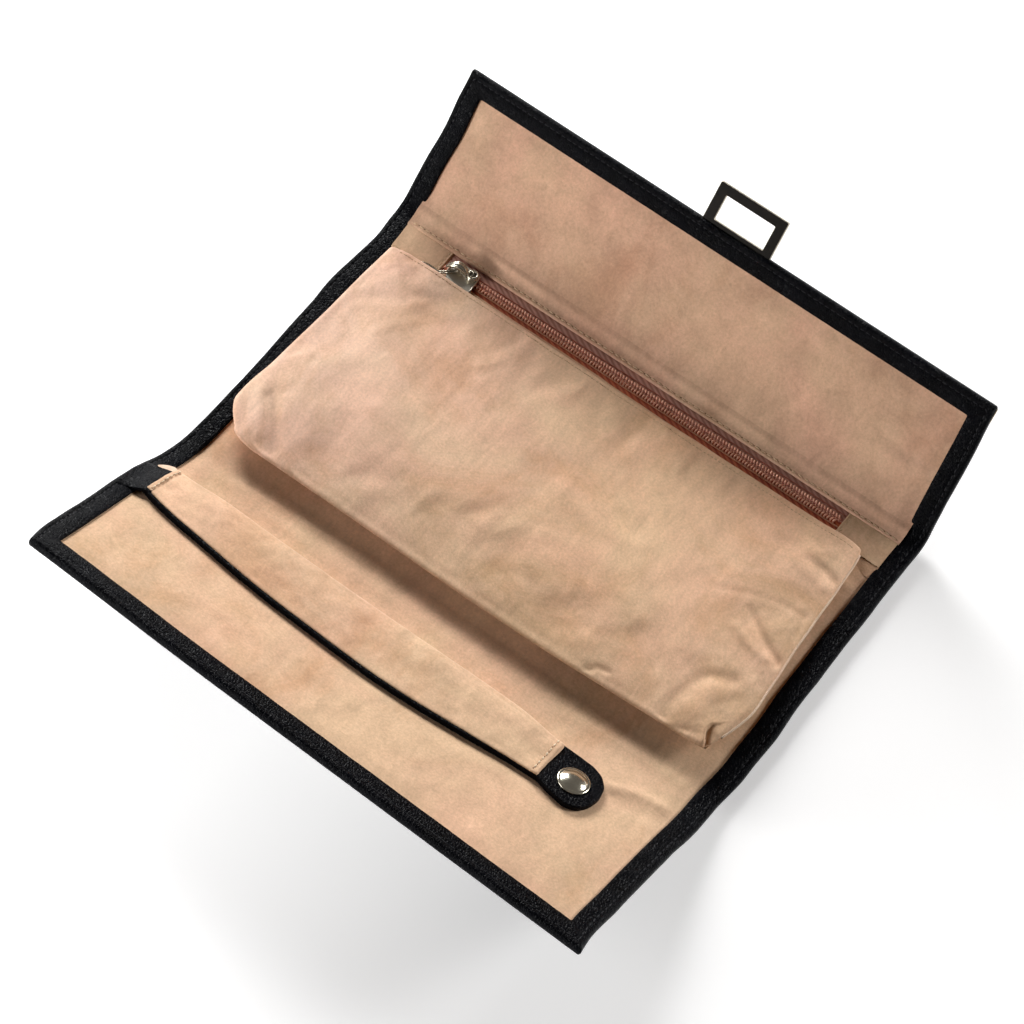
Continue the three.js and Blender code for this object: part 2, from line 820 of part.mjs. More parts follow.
const facingHalf = windowHalfWidth - layerGap;
const facing = block(
  [-facingHalf, facingHalf],
  [facingY, backSpineSpan.to],
  [facingZ, facingZ + facingThickness],
);
const tabYs = [pouchHemReach + layerGap, facingY - layerGap];
const tabZs = [facingZ, facingZ + endTabThickness];
backSpine.add(
  meshOf("back_spine_cover", leatherCover(backSpineSpan), materials.leather),
  meshOf("pocket_lining", pocketLining, materials.suede),
  meshOf("zip_tape_lower", tapes.lower, materials.tape),
  meshOf("zip_tape_upper", tapes.upper, materials.tape),
  meshOf("zip_coil_lower", coilRow(-1), materials.coil),
  meshOf("zip_coil_upper", coilRow(1), materials.coil),
  meshOf("zip_facing", facing, materials.suede),
  meshOf("zip_end_left", block([-facingHalf, zipLeftX - layerGap], tabYs, tabZs), materials.suede),
  meshOf("zip_end_right", block([zipRightX + layerGap, facingHalf], tabYs, tabZs), materials.suede),
);
addFold("back_fold_inner", centre, backFoldY, 0, 1, liningLevels, [
  pocketLiningZ,
  pocketLiningZ + liningThickness,
]);
addFold("back_fold_outer", backSpine, backSpineLength, backFlapRestDegrees, 1, [
  facingZ,
  facingZ + liningThickness,
]);

// Slider: two plates joined by a post between the rows, with flanges down its sides
const slider = new THREE.Group();
slider.position.set(sliderX, zipOffset, 0);
backSpine.add(slider);
const plateZ = tapeTop + coilHeight + sliderGap;
const plateTop = plateZ + sliderPlateThickness;

function sliderOutline(inset = 0) {
  const half = sliderLength / 2 - inset;
  const shoulder = sliderShoulderWidth / 2 - inset;
  const tail = sliderTailWidth / 2 - inset;
  const shape = new THREE.Shape();
  shape.moveTo(half, -tail);
  shape.lineTo(half, tail);
  shape.bezierCurveTo(half / 4, tail, 0, shoulder, -half / 2, shoulder);
  shape.quadraticCurveTo(-half, shoulder, -half, shoulder / 2);
  shape.quadraticCurveTo(-half, shoulder / 8, -half * sliderNotchShare, 0);
  shape.quadraticCurveTo(-half, -shoulder / 8, -half, -shoulder / 2);
  shape.quadraticCurveTo(-half, -shoulder, -half / 2, -shoulder);
  shape.bezierCurveTo(0, -shoulder, half / 4, -tail, half, -tail);
  return shape;
}

const underTop = tapeZ - sliderUnderGap;
const underZ = underTop - sliderUnderThickness;
const channelHalf = coilWidth + zipHalfGap + sliderGap;
const skirt = slabOf(sliderOutline(), plateZ - sliderFlangeDrop, plateZ, 6).subtract(
  block(
    [-sliderLength, sliderLength],
    [-sliderTailWidth / 2 + sliderFlangeThickness, sliderTailWidth / 2 - sliderFlangeThickness],
    [plateZ - sliderFlangeDrop - overrun, plateZ + overrun],
  ),
);
const sliderPost = block(
  [-sliderLength / 2 + sliderPlateThickness + overrun, -sliderLength / 2 + sliderPlateThickness + overrun + sliderPostLength],
  [-sliderPostThickness / 2, sliderPostThickness / 2],
  [underZ, plateTop],
);
const sliderBody = slabOf(sliderOutline(), plateZ, plateTop, 6)
  .add(skirt)
  .add(slabOf(sliderOutline(sliderFlangeThickness), underZ, underTop, 6))
  .add(sliderPost);

// Bail: a flat arch whose right foot ends in a round eye
const archOuter = new THREE.Shape();
archOuter.moveTo(bailX + bailHalfLength, plateTop);
archOuter.absellipse(bailX, plateTop, bailHalfLength, bailHeight, 0, Math.PI);
archOuter.lineTo(bailX - bailHalfLength + bailThickness, plateTop);
archOuter.absellipse(
  bailX,
  plateTop,
  bailHalfLength - bailThickness,
  bailHeight - bailThickness,
  Math.PI,
  0,
  true,
);
const arch = slabOf(archOuter, -bailWidth / 2, bailWidth / 2, 8).rotate([90, 0, 0]);
const eye = cylinder(2 * bailEyeRadius, plateTop, plateTop + bailEyeThickness, bailEyeX, 0, 20).subtract(
  cylinder(2 * bailEyeBore, plateTop - overrun, plateTop + bailEyeThickness + overrun, bailEyeX, 0, 16),
);
slider.add(
  meshOf("zip_slider", sliderBody, materials.metal),
  meshOf("zip_bail", arch.add(eye), materials.metal),
);

// Pull: its crossbar turns inside the bail, and its slot passes round the bail's foot
const pull = new THREE.Group();
pull.position.set(bailX, 0, plateTop + pullRise);
pull.rotation.z = radians(pullRestDegrees);
const pullShape = new THREE.Shape();
const pullEnd = pullLength - pullTabWidth / 2;
pullShape.moveTo(pullBarWidth / 2, -pullHeadWidth / 2);
pullShape.lineTo(pullBarWidth / 2, pullHeadWidth / 2);
pullShape.lineTo(-pullHeadLength / 2, pullHeadWidth / 2);
pullShape.quadraticCurveTo(-pullHeadLength, pullHeadWidth / 2, -pullHeadLength - pullBarWidth, pullTabWidth / 2);
pullShape.lineTo(-pullEnd, pullTabWidth / 2);
pullShape.absarc(-pullEnd, 0, pullTabWidth / 2, Math.PI / 2, 1.5 * Math.PI);
pullShape.lineTo(-pullHeadLength - pullBarWidth, -pullTabWidth / 2);
pullShape.quadraticCurveTo(-pullHeadLength, -pullHeadWidth / 2, -pullHeadLength / 2, -pullHeadWidth / 2);
pullShape.lineTo(pullBarWidth / 2, -pullHeadWidth / 2);
const slotCentre = -(pullBarWidth + pullSlotLength) / 2;
pullShape.holes.push(
  roundedRectangle(pullSlotLength, pullSlotWidth, pullBarWidth / 2, slotCentre, 0),
);
pull.add(
  meshOf("zip_pull", slabOf(pullShape, -pullThickness / 2, pullThickness / 2, 6), materials.metal),
);
slider.add(pull);

// Back flap, notched for the clasp frame's hidden bar
const backFlapSpan = { from: foldHalfGap, to: backFlapLength, way: 1, closed: true };
const frameXs = [
  frameCentreX - frameWidth / 2 - frameClearance,
  frameCentreX + frameWidth / 2 + frameClearance,
];
const frameZ = zLeatherTop + frameClearance;
const frameTop = frameZ + frameThickness;
const frameNotch = block(
  frameXs,
  [backFlapLength - frameSeat - frameClearance, backFlapLength + overrun],
  [zLeatherTop, zLip],
);
const frameOutline = roundedRectangle(
  frameWidth,
  frameReach + frameSeat,
  frameCornerRadius,
  frameCentreX,
  backFlapLength + (frameReach - frameSeat) / 2,
);
frameOutline.holes.push(
  roundedRectangle(
    frameWindowWidth,
    frameWindowDepth,
    frameCornerRadius,
    frameCentreX,
    backFlapLength + frameWindowDepth / 2,
  ),
);
backFlap.add(
  meshOf("back_cover", leatherCover(backFlapSpan).subtract(frameNotch), materials.leather),
  meshOf("back_board", stiffBoard(backFlapSpan).subtract(frameNotch), materials.board),
  meshOf("back_lining", suedeLining(backFlapSpan).subtract(frameNotch), materials.suede),
  meshOf("clasp_frame", slabOf(frameOutline, frameZ, frameTop, 3), materials.metal),
);

// Pouch: hangs by its hem from the zip's lower tape and lies over the centre panel
const pouch = new THREE.Group();
pouch.position.set(0, backFoldY - pouchHingeOffset, pouchHingeRise);
pouch.rotation.x = -radians(pouchRestDegrees);
centre.add(pouch);

function pouchEdge(side, t, inset = 0) {
  const y = pouchLength * t;
  const top = side < 0 ? pouchLeftX : pouchRightX;
  const splay = side < 0 ? pouchLeftSplay : pouchRightSplay;
  const intoCorner = Math.max(0, y - (pouchLength - pouchCornerRadius));
  const corner = pouchCornerRadius - Math.sqrt(Math.max(0, pouchCornerRadius ** 2 - intoCorner ** 2));
  return [top + side * (splay * t - corner - inset), -layerGap - (pouchLength - layerGap - inset) * t];
}

// Rows bunch up towards the round corners
const bunched = (u) => 1 - (1 - u) ** pouchBunchShare;

function pouchDome({ inset, bottom, crown, rim }) {
  return crowned({
    rows: 20,
    columns: 16,
    rowAt: bunched,
    edgeA: (t) => pouchEdge(-1, t, inset),
    edgeB: (t) => pouchEdge(1, t, inset),
    bottom,
    top: (t, w) => {
      const across = Math.max(0, 1 - (2 * w - 1) ** 6);
      const rise = pouchRimShare + t / pouchRiseShare;
      const along = Math.max(0, 1 - t ** 8) * Math.min(1, rise);
      return rim + (crown - rim) * across * along;
    },
  });
}

const pouchBackZ = -pouchWall - layerGap;
const pouchFront = pouchDome({
  inset: 0,
  bottom: -pouchWall + layerGap / 2,
  crown: pouchCrown,
  rim: pouchRim,
}).subtract(
  pouchDome({
    inset: pouchWall,
    bottom: -pouchWall - overrun,
    crown: pouchCrown - pouchWall,
    rim: pouchRim - pouchWall,
  }),
);
const pouchBack = crowned({
  rows: 20,
  columns: 1,
  rowAt: bunched,
  edgeA: (t) => pouchEdge(-1, t),
  edgeB: (t) => pouchEdge(1, t),
  bottom: pouchBackZ - pouchWall + layerGap,
  top: () => pouchBackZ + layerGap / 2,
});
pouch.add(
  meshOf("pouch_front", pouchFront, materials.suede),
  meshOf("pouch_back", pouchBack, materials.suede),
);
const hem = block(
  [pouchLeftX, pouchRightX],
  [backFoldY - pouchHingeOffset + layerGap, backFoldY + pouchHemReach],
  [facingZ, facingZ + pouchHemThickness],
);
centre.add(meshOf("pouch_hem", hem, materials.suede));

export default jewelryRoll;
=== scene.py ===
"""Looks of a jewelry roll that lies open: leather shell, suede lining, zipped pouch, ring bar and clasp."""

import math

import bpy
import numpy as np
from mathutils import Matrix, Vector


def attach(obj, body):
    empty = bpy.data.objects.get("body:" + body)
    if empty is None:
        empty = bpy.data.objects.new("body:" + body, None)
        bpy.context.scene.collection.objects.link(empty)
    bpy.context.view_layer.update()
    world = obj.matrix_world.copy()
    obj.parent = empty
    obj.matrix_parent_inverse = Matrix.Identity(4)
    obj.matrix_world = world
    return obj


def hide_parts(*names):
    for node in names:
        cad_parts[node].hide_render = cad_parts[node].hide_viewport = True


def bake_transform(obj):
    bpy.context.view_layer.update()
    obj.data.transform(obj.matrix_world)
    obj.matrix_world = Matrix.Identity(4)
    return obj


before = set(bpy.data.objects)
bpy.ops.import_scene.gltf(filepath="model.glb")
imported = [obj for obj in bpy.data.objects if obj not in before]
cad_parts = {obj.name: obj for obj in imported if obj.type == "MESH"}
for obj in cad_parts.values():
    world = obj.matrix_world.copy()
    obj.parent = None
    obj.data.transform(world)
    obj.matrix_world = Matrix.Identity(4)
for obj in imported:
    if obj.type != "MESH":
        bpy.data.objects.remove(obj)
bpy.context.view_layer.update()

# Sizes in millimetres and angles in degrees, the same as the solids

MM = 0.001
HALF_WIDTH = 125.0
BORDER = 8.8
MID_HEIGHT = 2.0
LINING_TOP = 1.2
FRONT_END = -159.2
BACK_END = 144.6
FRONT_INNER = 59.2
FRONT_OUTER = 75.2
BACK_INNER = 59.2
BACK_OUTER = 79.8
FRONT_ANGLE = 12.0
BACK_ANGLE = 52.0
FOLD_REACH = 5.0
BACK_FOLD_REACH = 6.0


# The folded shape: a point of the flat roll is carried to where it lies

def bend(along, height, degrees, reach):
    """Turns what is past 0 up by an angle, round an arc that starts and ends at reach."""
    angle = np.radians(np.broadcast_to(degrees, along.shape))
    safe = np.maximum(np.abs(angle), 1e-4) * np.where(angle < 0, -1, 1)
    radius = reach / np.tan(safe / 2)
    turned = safe * np.clip((along + reach) / (2 * reach), 0, 1)
    arc_y = -reach + (radius - height) * np.sin(turned)
    arc_z = radius - (radius - height) * np.cos(turned)
    far_y = along * np.cos(safe) - height * np.sin(safe)
    far_z = along * np.sin(safe) + height * np.cos(safe)
    y = np.where(along < -reach, along, np.where(along > reach, far_y, arc_y))
    z = np.where(along < -reach, height, np.where(along > reach, far_z, arc_z))
    return y, z


def front_twist(x):
    """The front flap stands a little higher at its left end."""
    return -0.15 - 2.45 * x / HALF_WIDTH


def curve(points, at):
    """A smooth curve through (position, value) pairs."""
    xs = np.array([p[0] for p in points], float)
    ys = np.array([p[1] for p in points], float)
    slopes = np.gradient(ys, xs)
    at = np.clip(at, xs[0], xs[-1])
    i = np.clip(np.searchsorted(xs, at) - 1, 0, len(xs) - 2)
    width = xs[i + 1] - xs[i]
    t = (at - xs[i]) / width
    return (
        (2 * t**3 - 3 * t**2 + 1) * ys[i] + (t**3 - 2 * t**2 + t) * slopes[i] * width
        + (-2 * t**3 + 3 * t**2) * ys[i + 1] + (t**3 - t**2) * slopes[i + 1] * width
    )


def smooth(value, start, end):
    t = np.clip((value - start) / (end - start), 0, 1)
    return t * t * (3 - 2 * t)


# How far the left and right edges of the worn shell wander outwards or inwards: (s, change of x)
LEFT_SWAY = [
    (-159.2, -1.5), (-152, -2.6), (-140, -2.6), (-118, -2.6), (-108, -2.7), (-92, -2.4), (-82, -1.9),
    (-73, -0.8), (-64, 0.2), (-52, 0.7), (-38, 0.8), (-20, 0.8), (-2, 0.4), (18, -0.1), (32, -0.9),
    (48, 0.2), (60, 0.8), (74, -0.3), (90, -0.3), (104, 0.0), (118, 1.2), (130, 0.9), (144.6, 0.9),
]
RIGHT_SWAY = [
    (-159.2, 0.85), (-151, -0.45), (-131, -0.25), (-110, -0.05), (-93, 0.35), (-76, 1.05), (-62, 1.05),
    (-47, 2.45), (-35, 2.35), (-22, 2.45), (-10, 1.65), (6, 1.45), (22, 1.25), (39, 1.35), (56, 1.05),
    (72, 1.15), (82, 1.45), (95, 0.75), (109, 0.15), (123, -0.35), (136, -0.95), (144.6, -1.35),
]


def flap_lift(x, s):
    """The front flap's left end curls up a little."""
    return 1.1 * smooth(-x, 40, 125) * smooth(-s, 76, 92)


def place(x, s, h):
    """Metres, for x across the roll, s along it towards the back, and h above the panels' middle."""
    x, s, h = np.broadcast_arrays(*(np.asarray(v, float) for v in (x, s, h)))
    h = h + flap_lift(x, s)
    front_y, front_z = bend(-s - FRONT_OUTER, h, FRONT_ANGLE + front_twist(x), FOLD_REACH)
    front_y, front_z = bend(front_y + FRONT_OUTER - FRONT_INNER, front_z, FRONT_ANGLE, FOLD_REACH)
    back_y, back_z = bend(s - BACK_OUTER, h, BACK_ANGLE, BACK_FOLD_REACH)
    y = np.where(s < 0, -(front_y + FRONT_INNER), back_y + BACK_OUTER)
    z = np.where(s < 0, front_z, back_z)
    sway = curve(LEFT_SWAY, s) * smooth(-x, 85, 125) + curve(RIGHT_SWAY, s) * smooth(x, 85, 125)
    return np.stack([x + sway, y, z + MID_HEIGHT], axis=-1) * MM


def waves(points, scale, seed, octaves=3):
    """Smooth seeded noise from -1 to 1 at points of any dimension, with features of about scale."""
    rng = np.random.default_rng(seed)
    points = np.asarray(points, float)
    total = np.zeros(points.shape[:-1])
    weight = 0.0
    for octave in range(octaves):
        share = 0.5**octave
        for _ in range(6):
            direction = rng.normal(size=points.shape[-1])
            direction /= np.linalg.norm(direction)
            turns = 2 * math.pi * 2**octave / scale * rng.uniform(0.6, 1.3)
            total += share * np.sin(points @ direction * turns + rng.uniform(0, 2 * math.pi))
        weight += share * 3
    return total / weight


def bump_at(value, centre, width):
    return np.exp(-(((value - centre) / width) ** 2))


def dome_drop(share):
    """How far a rounded edge lies below its top: 1 at share 0, 0 at share 1."""
    return 1 - np.sqrt(np.clip(1 - (1 - share) ** 2, 0, 1))


# Materials

class Graph:
    """The node tree of a material or the world, with short calls for the nodes used here."""

    def __init__(self, owner):
        owner.use_nodes = True
        self.owner = owner
        self.nodes = owner.node_tree.nodes
        self.links = owner.node_tree.links

    def put(self, socket, value):
        """Links another node's output to an input, or sets a plain value."""
        if isinstance(value, bpy.types.NodeSocket):
            self.links.new(value, socket)
        elif socket.type == "RGBA":
            socket.default_value = (*value, 1)
        else:
            socket.default_value = value

    def add(self, kind, inputs=(), **settings):
        node = self.nodes.new("ShaderNode" + kind)
        for name, value in settings.items():
            setattr(node, name, value)
        for name, value in dict(inputs).items():
            self.put(node.inputs[name], value)
        return node

    def point(self, scale=(1, 1, 1), turn=0.0):
        inputs = {"Vector": self.add("TexCoord").outputs["Object"], "Scale": scale, "Rotation": (0, 0, turn)}
        return self.add("Mapping", inputs).outputs["Vector"]

    def noise(self, point, scale, detail=3.0, roughness=0.5, distortion=0.0):
        inputs = {"Scale": scale, "Detail": detail, "Roughness": roughness, "Distortion": distortion}
        return self.add("TexNoise", {"Vector": point, **inputs}).outputs["Fac"]

    def ramp(self, factor, *stops):
        """Runs through stops of (position, colour), where a single number is a grey."""
        node = self.add("ValToRGB", {"Fac": factor})
        elements = node.color_ramp.elements
        while len(elements) < len(stops):
            elements.new(0.5)
        for element, (position, colour) in zip(elements, stops):
            element.position = position
            element.color = (*colour, 1) if isinstance(colour, tuple) else (colour, colour, colour, 1)
        return node.outputs["Color"]

    def mix(self, mode, factor, a, b):
        inputs = {"Factor": factor, "A": a, "B": b}
        return self.add("Mix", inputs, data_type="RGBA", blend_type=mode).outputs["Result"]

    def finish(self, inputs, bumps):
        """Sets the shader's inputs and stacks bumps of (height, strength, distance in metres)."""
        inputs = dict(inputs)
        for height, strength, distance in bumps:
            below = {"Normal": inputs["Normal"]} if "Normal" in inputs else {}
            bump = self.add("Bump", {"Height": height, "Strength": strength, "Distance": distance, **below})
            inputs["Normal"] = bump.outputs["Normal"]
        for name, value in inputs.items():
            self.put(self.nodes["Principled BSDF"].inputs[name], value)
        return self.owner


def crush_lines(graph, point):
    """Thin crossing lines where the suede was creased, strong in some places and faint in others."""
    warp = graph.add("TexNoise", {"Vector": point, "Scale": 28, "Detail": 4}).outputs["Color"]
    moved = graph.add("MixRGB", {"Fac": 0.02, "Color1": point, "Color2": warp}, blend_type="LINEAR_LIGHT")
    lines = []
    for scale, width, strength in ((24, 0.05, 1.0), (55, 0.06, 0.5)):
        inputs = {"Vector": moved.outputs["Color"], "Scale": scale}
        cells = graph.add("TexVoronoi", inputs, feature="DISTANCE_TO_EDGE")
        lines.append(graph.ramp(cells.outputs["Distance"], (0.0, strength), (width, 0.0)))
    where = graph.ramp(graph.noise(point, 38, 2), (0.45, 0.0), (0.62, 1.0))
    return graph.mix("MULTIPLY", 1.0, graph.mix("ADD", 1.0, *lines), where)


def suede_material(name, light, deep, turn=0.0, across=()):
    """Brushed pigskin: marbled colour, streaks of nap, thin crush lines, faint pores and a soft sheen; given
    stops across the roll, also painted light that changes the colour with x.
    """
    graph = Graph(bpy.data.materials.new(name))
    broad = graph.point(turn=turn)
    streaked = graph.point((1.0, 0.28, 1.0), 0.6 + turn)
    marble = graph.noise(broad, 17, 6, 0.62, 1.1)
    hue = graph.noise(broad, 24, 3, 0.5, 0.6)
    streaks = graph.noise(streaked, 90, 5, 0.6, 0.5)
    mottle = graph.noise(streaked, 260, 4, 0.7, 1.2)
    nap = graph.noise(broad, 1000, 3, 0.65)
    crush = crush_lines(graph, broad)
    layers = [(0.75, graph.ramp(hue, (0.36, (1.05, 0.95, 0.93)), (0.62, (1.0, 1.0, 0.93))))]
    # Painted light: where stops are given, the colour is lightened or darkened by its place across the roll.
    if across:
        x = graph.add("SeparateXYZ", {"Vector": graph.point()}).outputs["X"]
        span = graph.add("MapRange", {"Value": x, "From Min": -0.12, "From Max": 0.12}).outputs["Result"]
        layers.append((1.0, graph.ramp(span, *across)))
    layers += [
        (0.85, graph.ramp(streaks, (0.35, 0.86), (0.55, 1.0), (0.8, (1.08, 1.09, 1.11)))),
        (0.9, graph.ramp(mottle, (0.32, 0.93), (0.5, 1.0), (0.7, (1.06, 1.07, 1.09)))),
        (0.9, graph.ramp(crush, (0.0, 1.0), (1.0, 1.06))),
        (0.75, graph.ramp(nap, (0.3, 0.84), (0.7, 1.12))),
    ]
    base = graph.ramp(marble, (0.33, deep), (0.5, light), (0.72, tuple(min(1, c * 1.09) for c in light)))
    for strength, layer in layers:
        base = graph.mix("MULTIPLY", strength, base, layer)
    inputs = {
        "Base Color": base, "Roughness": 0.92, "Specular IOR Level": 0.15, "Sheen Weight": 0.2,
        "Sheen Roughness": 0.45,
    }
    return graph.finish(inputs, [
        (marble, 0.3, 0.0020), (streaks, 0.4, 0.0009), (crush, 0.05, 0.0004), (nap, 0.4, 0.0002),
    ])


def leather_material():
    """Black pebbled leather with worn, glossier high spots."""
    graph = Graph(bpy.data.materials.new("leather_black"))
    point = graph.point()
    cells = graph.add("TexVoronoi", {"Vector": point, "Scale": 950}, feature="DISTANCE_TO_EDGE")
    pebble = graph.ramp(cells.outputs["Distance"], (0.0, 0.0), (0.22, 1.0))
    wear = graph.noise(point, 420, 4, 0.6)
    creases = graph.noise(point, 95, 5, 0.6, 0.6)
    inputs = {
        "Base Color": graph.ramp(creases, (0.3, (0.0010, 0.0011, 0.0016)), (0.7, (0.0022, 0.0025, 0.0042))),
        "Roughness": graph.ramp(wear, (0.3, 0.24), (0.7, 0.40)),
        "Specular IOR Level": 0.045,
    }
    return graph.finish(inputs, [(creases, 0.35, 0.0014), (wear, 0.5, 0.0005), (pebble, 0.6, 0.00022)])


def metal_material(name, colour, roughness):
    """Plated metal with faint polishing marks."""
    graph = Graph(bpy.data.materials.new(name))
    marks = graph.noise(graph.point((1, 6, 1), 0.4), 700, 3, 0.6)
    inputs = {
        "Base Color": graph.ramp(marks, (0.3, tuple(c * 0.93 for c in colour)), (0.7, colour)),
        "Roughness": graph.ramp(marks, (0.3, roughness * 0.8), (0.7, roughness * 1.25)),
        "Metallic": 1.0,
    }
    return graph.finish(inputs, [(marks, 0.02, 0.0001)])


def plain_material(name, light, dark, scale, roughness, bump=0.3, specular=0.5):
    """Thread, board and padding: fine mottled grain."""
    graph = Graph(bpy.data.materials.new(name))
    grain = graph.noise(graph.point(), scale, 4, 0.6)
    inputs = {
        "Base Color": graph.ramp(grain, (0.3, dark), (0.7, light)), "Roughness": roughness,
        "Specular IOR Level": specular,
    }
    return graph.finish(inputs, [(grain, bump, 0.0003)])


def tape_material(name, dark, light):
    """Woven zip tape: fine slanted ribs, a little uneven."""
    graph = Graph(bpy.data.materials.new(name))
    weave = {
        "Vector": graph.point((0.55, 1.0, 1.0)), "Scale": 310, "Distortion": 1.6, "Detail": 3.0,
        "Detail Scale": 0.6,
    }
    ribs = graph.add("TexWave", weave, wave_type="BANDS", bands_direction="DIAGONAL").outputs["Fac"]
    patches = graph.noise(graph.point((0.3, 1, 1)), 160, 3, 0.6)
    colour = graph.ramp(ribs, (0.0, dark), (1.0, light))
    worn = graph.ramp(patches, (0.3, 0.75), (0.7, 1.2))
    mixed = graph.mix("MULTIPLY", 0.8, colour, worn)
    return graph.finish({"Base Color": mixed, "Roughness": 0.75, "Sheen Weight": 0.12}, [(ribs, 0.45, 0.0002)])


SUEDE = suede_material("suede_peach", (0.72, 0.49, 0.325), (0.62, 0.385, 0.235))
# The pouch's suede has painted light: lighter and paler at its left end, a little lighter at its right end.
SUEDE_POUCH = suede_material("suede_pouch", (0.73, 0.50, 0.335), (0.62, 0.395, 0.24), 0.9, [
    (0.0, (1.07, 1.10, 1.26)), (0.3, (1.0, 1.0, 1.04)), (0.6, (1.02, 1.0, 0.97)), (1.0, (1.06, 1.05, 1.06)),
])
# Painted shade: a darker copy of the lining suede for the back flap and the back fold, standing in for the
# shade on the tilted flap.
SUEDE_BACK_SHADED = suede_material("suede_back_shaded", (0.63, 0.41, 0.285), (0.53, 0.325, 0.215), turn=1.7)
SUEDE_TAB = suede_material("suede_tab", (0.62, 0.43, 0.28), (0.53, 0.35, 0.21), turn=0.3)
# Pale suede: on the pouch's piping its lighter colour is a painted highlight.
SUEDE_LIGHT = suede_material("suede_light", (0.80, 0.60, 0.46), (0.72, 0.51, 0.37), turn=0.3)
LEATHER = leather_material()
NICKEL = metal_material("pale_nickel", (0.50, 0.46, 0.37), 0.26)
NICKEL_SATIN = metal_material("satin_nickel", (0.56, 0.52, 0.44), 0.38)
NICKEL_MIRROR = metal_material("bright_nickel", (0.78, 0.74, 0.60), 0.17)
# Painted reflection: a black finish for the clasp's face in place of the dark reflection of polished metal.
PAINTED_REFLECTION_BLACK = plain_material("painted_reflection_black", (0.012, 0.009, 0.006), (0.005, 0.004, 0.003), 400, 0.25, 0.05, 0.12)
THREAD_BLACK = plain_material(
    "thread_black", (0.010, 0.011, 0.015), (0.004, 0.004, 0.006), 3000, 0.5, specular=0.2
)
THREAD_BEIGE = plain_material("thread_beige", (0.84, 0.64, 0.42), (0.46, 0.30, 0.17), 3000, 0.8)
THREAD_CREAM = plain_material("thread_cream", (0.92, 0.80, 0.60), (0.55, 0.40, 0.24), 2000, 0.7)
THREAD_TAN = plain_material("thread_tan", (0.64, 0.42, 0.27), (0.42, 0.26, 0.15), 1500, 0.8)
THREAD_PINK = plain_material("thread_pink", (0.82, 0.42, 0.34), (0.62, 0.27, 0.21), 2500, 0.6)
THREAD_RUST = plain_material("thread_rust", (0.58, 0.20, 0.14), (0.38, 0.11, 0.075), 2500, 0.7)
TAPE = tape_material("zip_tape_rust", (0.44, 0.20, 0.155), (0.66, 0.36, 0.28))
TAPE_DEEP = tape_material("zip_tape_deep", (0.40, 0.075, 0.03), (0.62, 0.17, 0.07))
COIL = plain_material("coil_peach", (0.96, 0.54, 0.39), (0.80, 0.38, 0.26), 900, 0.5)
CORD = plain_material("cord_orange", (0.82, 0.44, 0.28), (0.58, 0.25, 0.13), 1500, 0.6)
# Painted shade: dark copies of the suede's colour, put in the stitch holes and dips.
HOLE_SHADE = plain_material("stitch_hole_shade", (0.25, 0.14, 0.075), (0.16, 0.085, 0.042), 2000, 0.9)
DIP_SHADE = plain_material("stitch_dip_shade", (0.26, 0.145, 0.075), (0.18, 0.095, 0.047), 2000, 0.9)
BOARD = plain_material("board_tan", (0.5, 0.4, 0.27), (0.4, 0.31, 0.2), 600, 0.9)
PADDING = plain_material("padding_white", (0.8, 0.78, 0.7), (0.7, 0.67, 0.58), 800, 0.95)


# Meshes

def add_mesh(name, points, faces, material, flat=False):
    mesh = bpy.data.meshes.new(name)
    mesh.from_pydata(np.asarray(points, float).reshape(-1, 3).tolist(), [], faces)
    mesh.materials.append(material)
    mesh.update()
    if not flat:
        mesh.shade_smooth()
    obj = bpy.data.objects.new(name, mesh)
    bpy.context.scene.collection.objects.link(obj)
    return obj


class Shape:
    """Collects grids and lofts into one mesh."""

    def __init__(self):
        self.points = []
        self.faces = []

    def grid(self, points, flip=False):
        rows, columns = points.shape[:2]
        for i in range(rows - 1):
            for j in range(columns - 1):
                a = len(self.points) + i * columns + j
                quad = (a, a + 1, a + 1 + columns, a + columns)
                self.faces.append(quad[::-1] if flip else quad)
        self.points += points.reshape(-1, 3).tolist()

    def loft(self, rings, closed=False):
        """Skins closed rings of points in turn, capped at both ends or joined back to the first ring."""
        rings = np.asarray(rings)
        count, ring = rings.shape[:2]
        start = len(self.points)
        self.points += rings.reshape(-1, 3).tolist()
        for i in range(count if closed else count - 1):
            near, far = start + i * ring, start + (i + 1) % count * ring
            for k in range(ring):
                after = (k + 1) % ring
                self.faces.append((near + k, near + after, far + after, far + k))
        if not closed:
            last = start + (count - 1) * ring
            self.faces.append(tuple(range(start, start + ring))[::-1])
            self.faces.append(tuple(range(last, last + ring)))

    def piece(self, name, material, slot, body, stands_for=(), fill=None, flat=False):
        """Makes the piece, which rides on a body or, given two bodies and two points, stays where it is made.
        """
        obj = add_mesh(name, self.points, self.faces, material, flat)
        if stands_for:
            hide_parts(*stands_for)
        if isinstance(body, str):
            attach(obj, body)
        else:
            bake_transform(obj)


def unit(vectors):
    return vectors / np.linalg.norm(vectors, axis=1)[:, None]


# Panels and folds from the front flap's edge to the clasp flap's edge

def across_fold(inner, outer, start, end):
    """Two bodies and two points on a fold, given to a piece that spans it."""
    return (inner, outer, *(tuple(place(0, s, 0).tolist()) for s in (start, end)))


def fold_row(name, inner, outer, middle, reach, nodes):
    """A fold's row of the list of panels, its ends given from the centre of the roll outwards."""
    start, end = middle - math.copysign(reach, middle), middle + math.copysign(reach, middle)
    return name, start, end, across_fold(inner, outer, start, end), nodes + "_leather", nodes + "_suede"


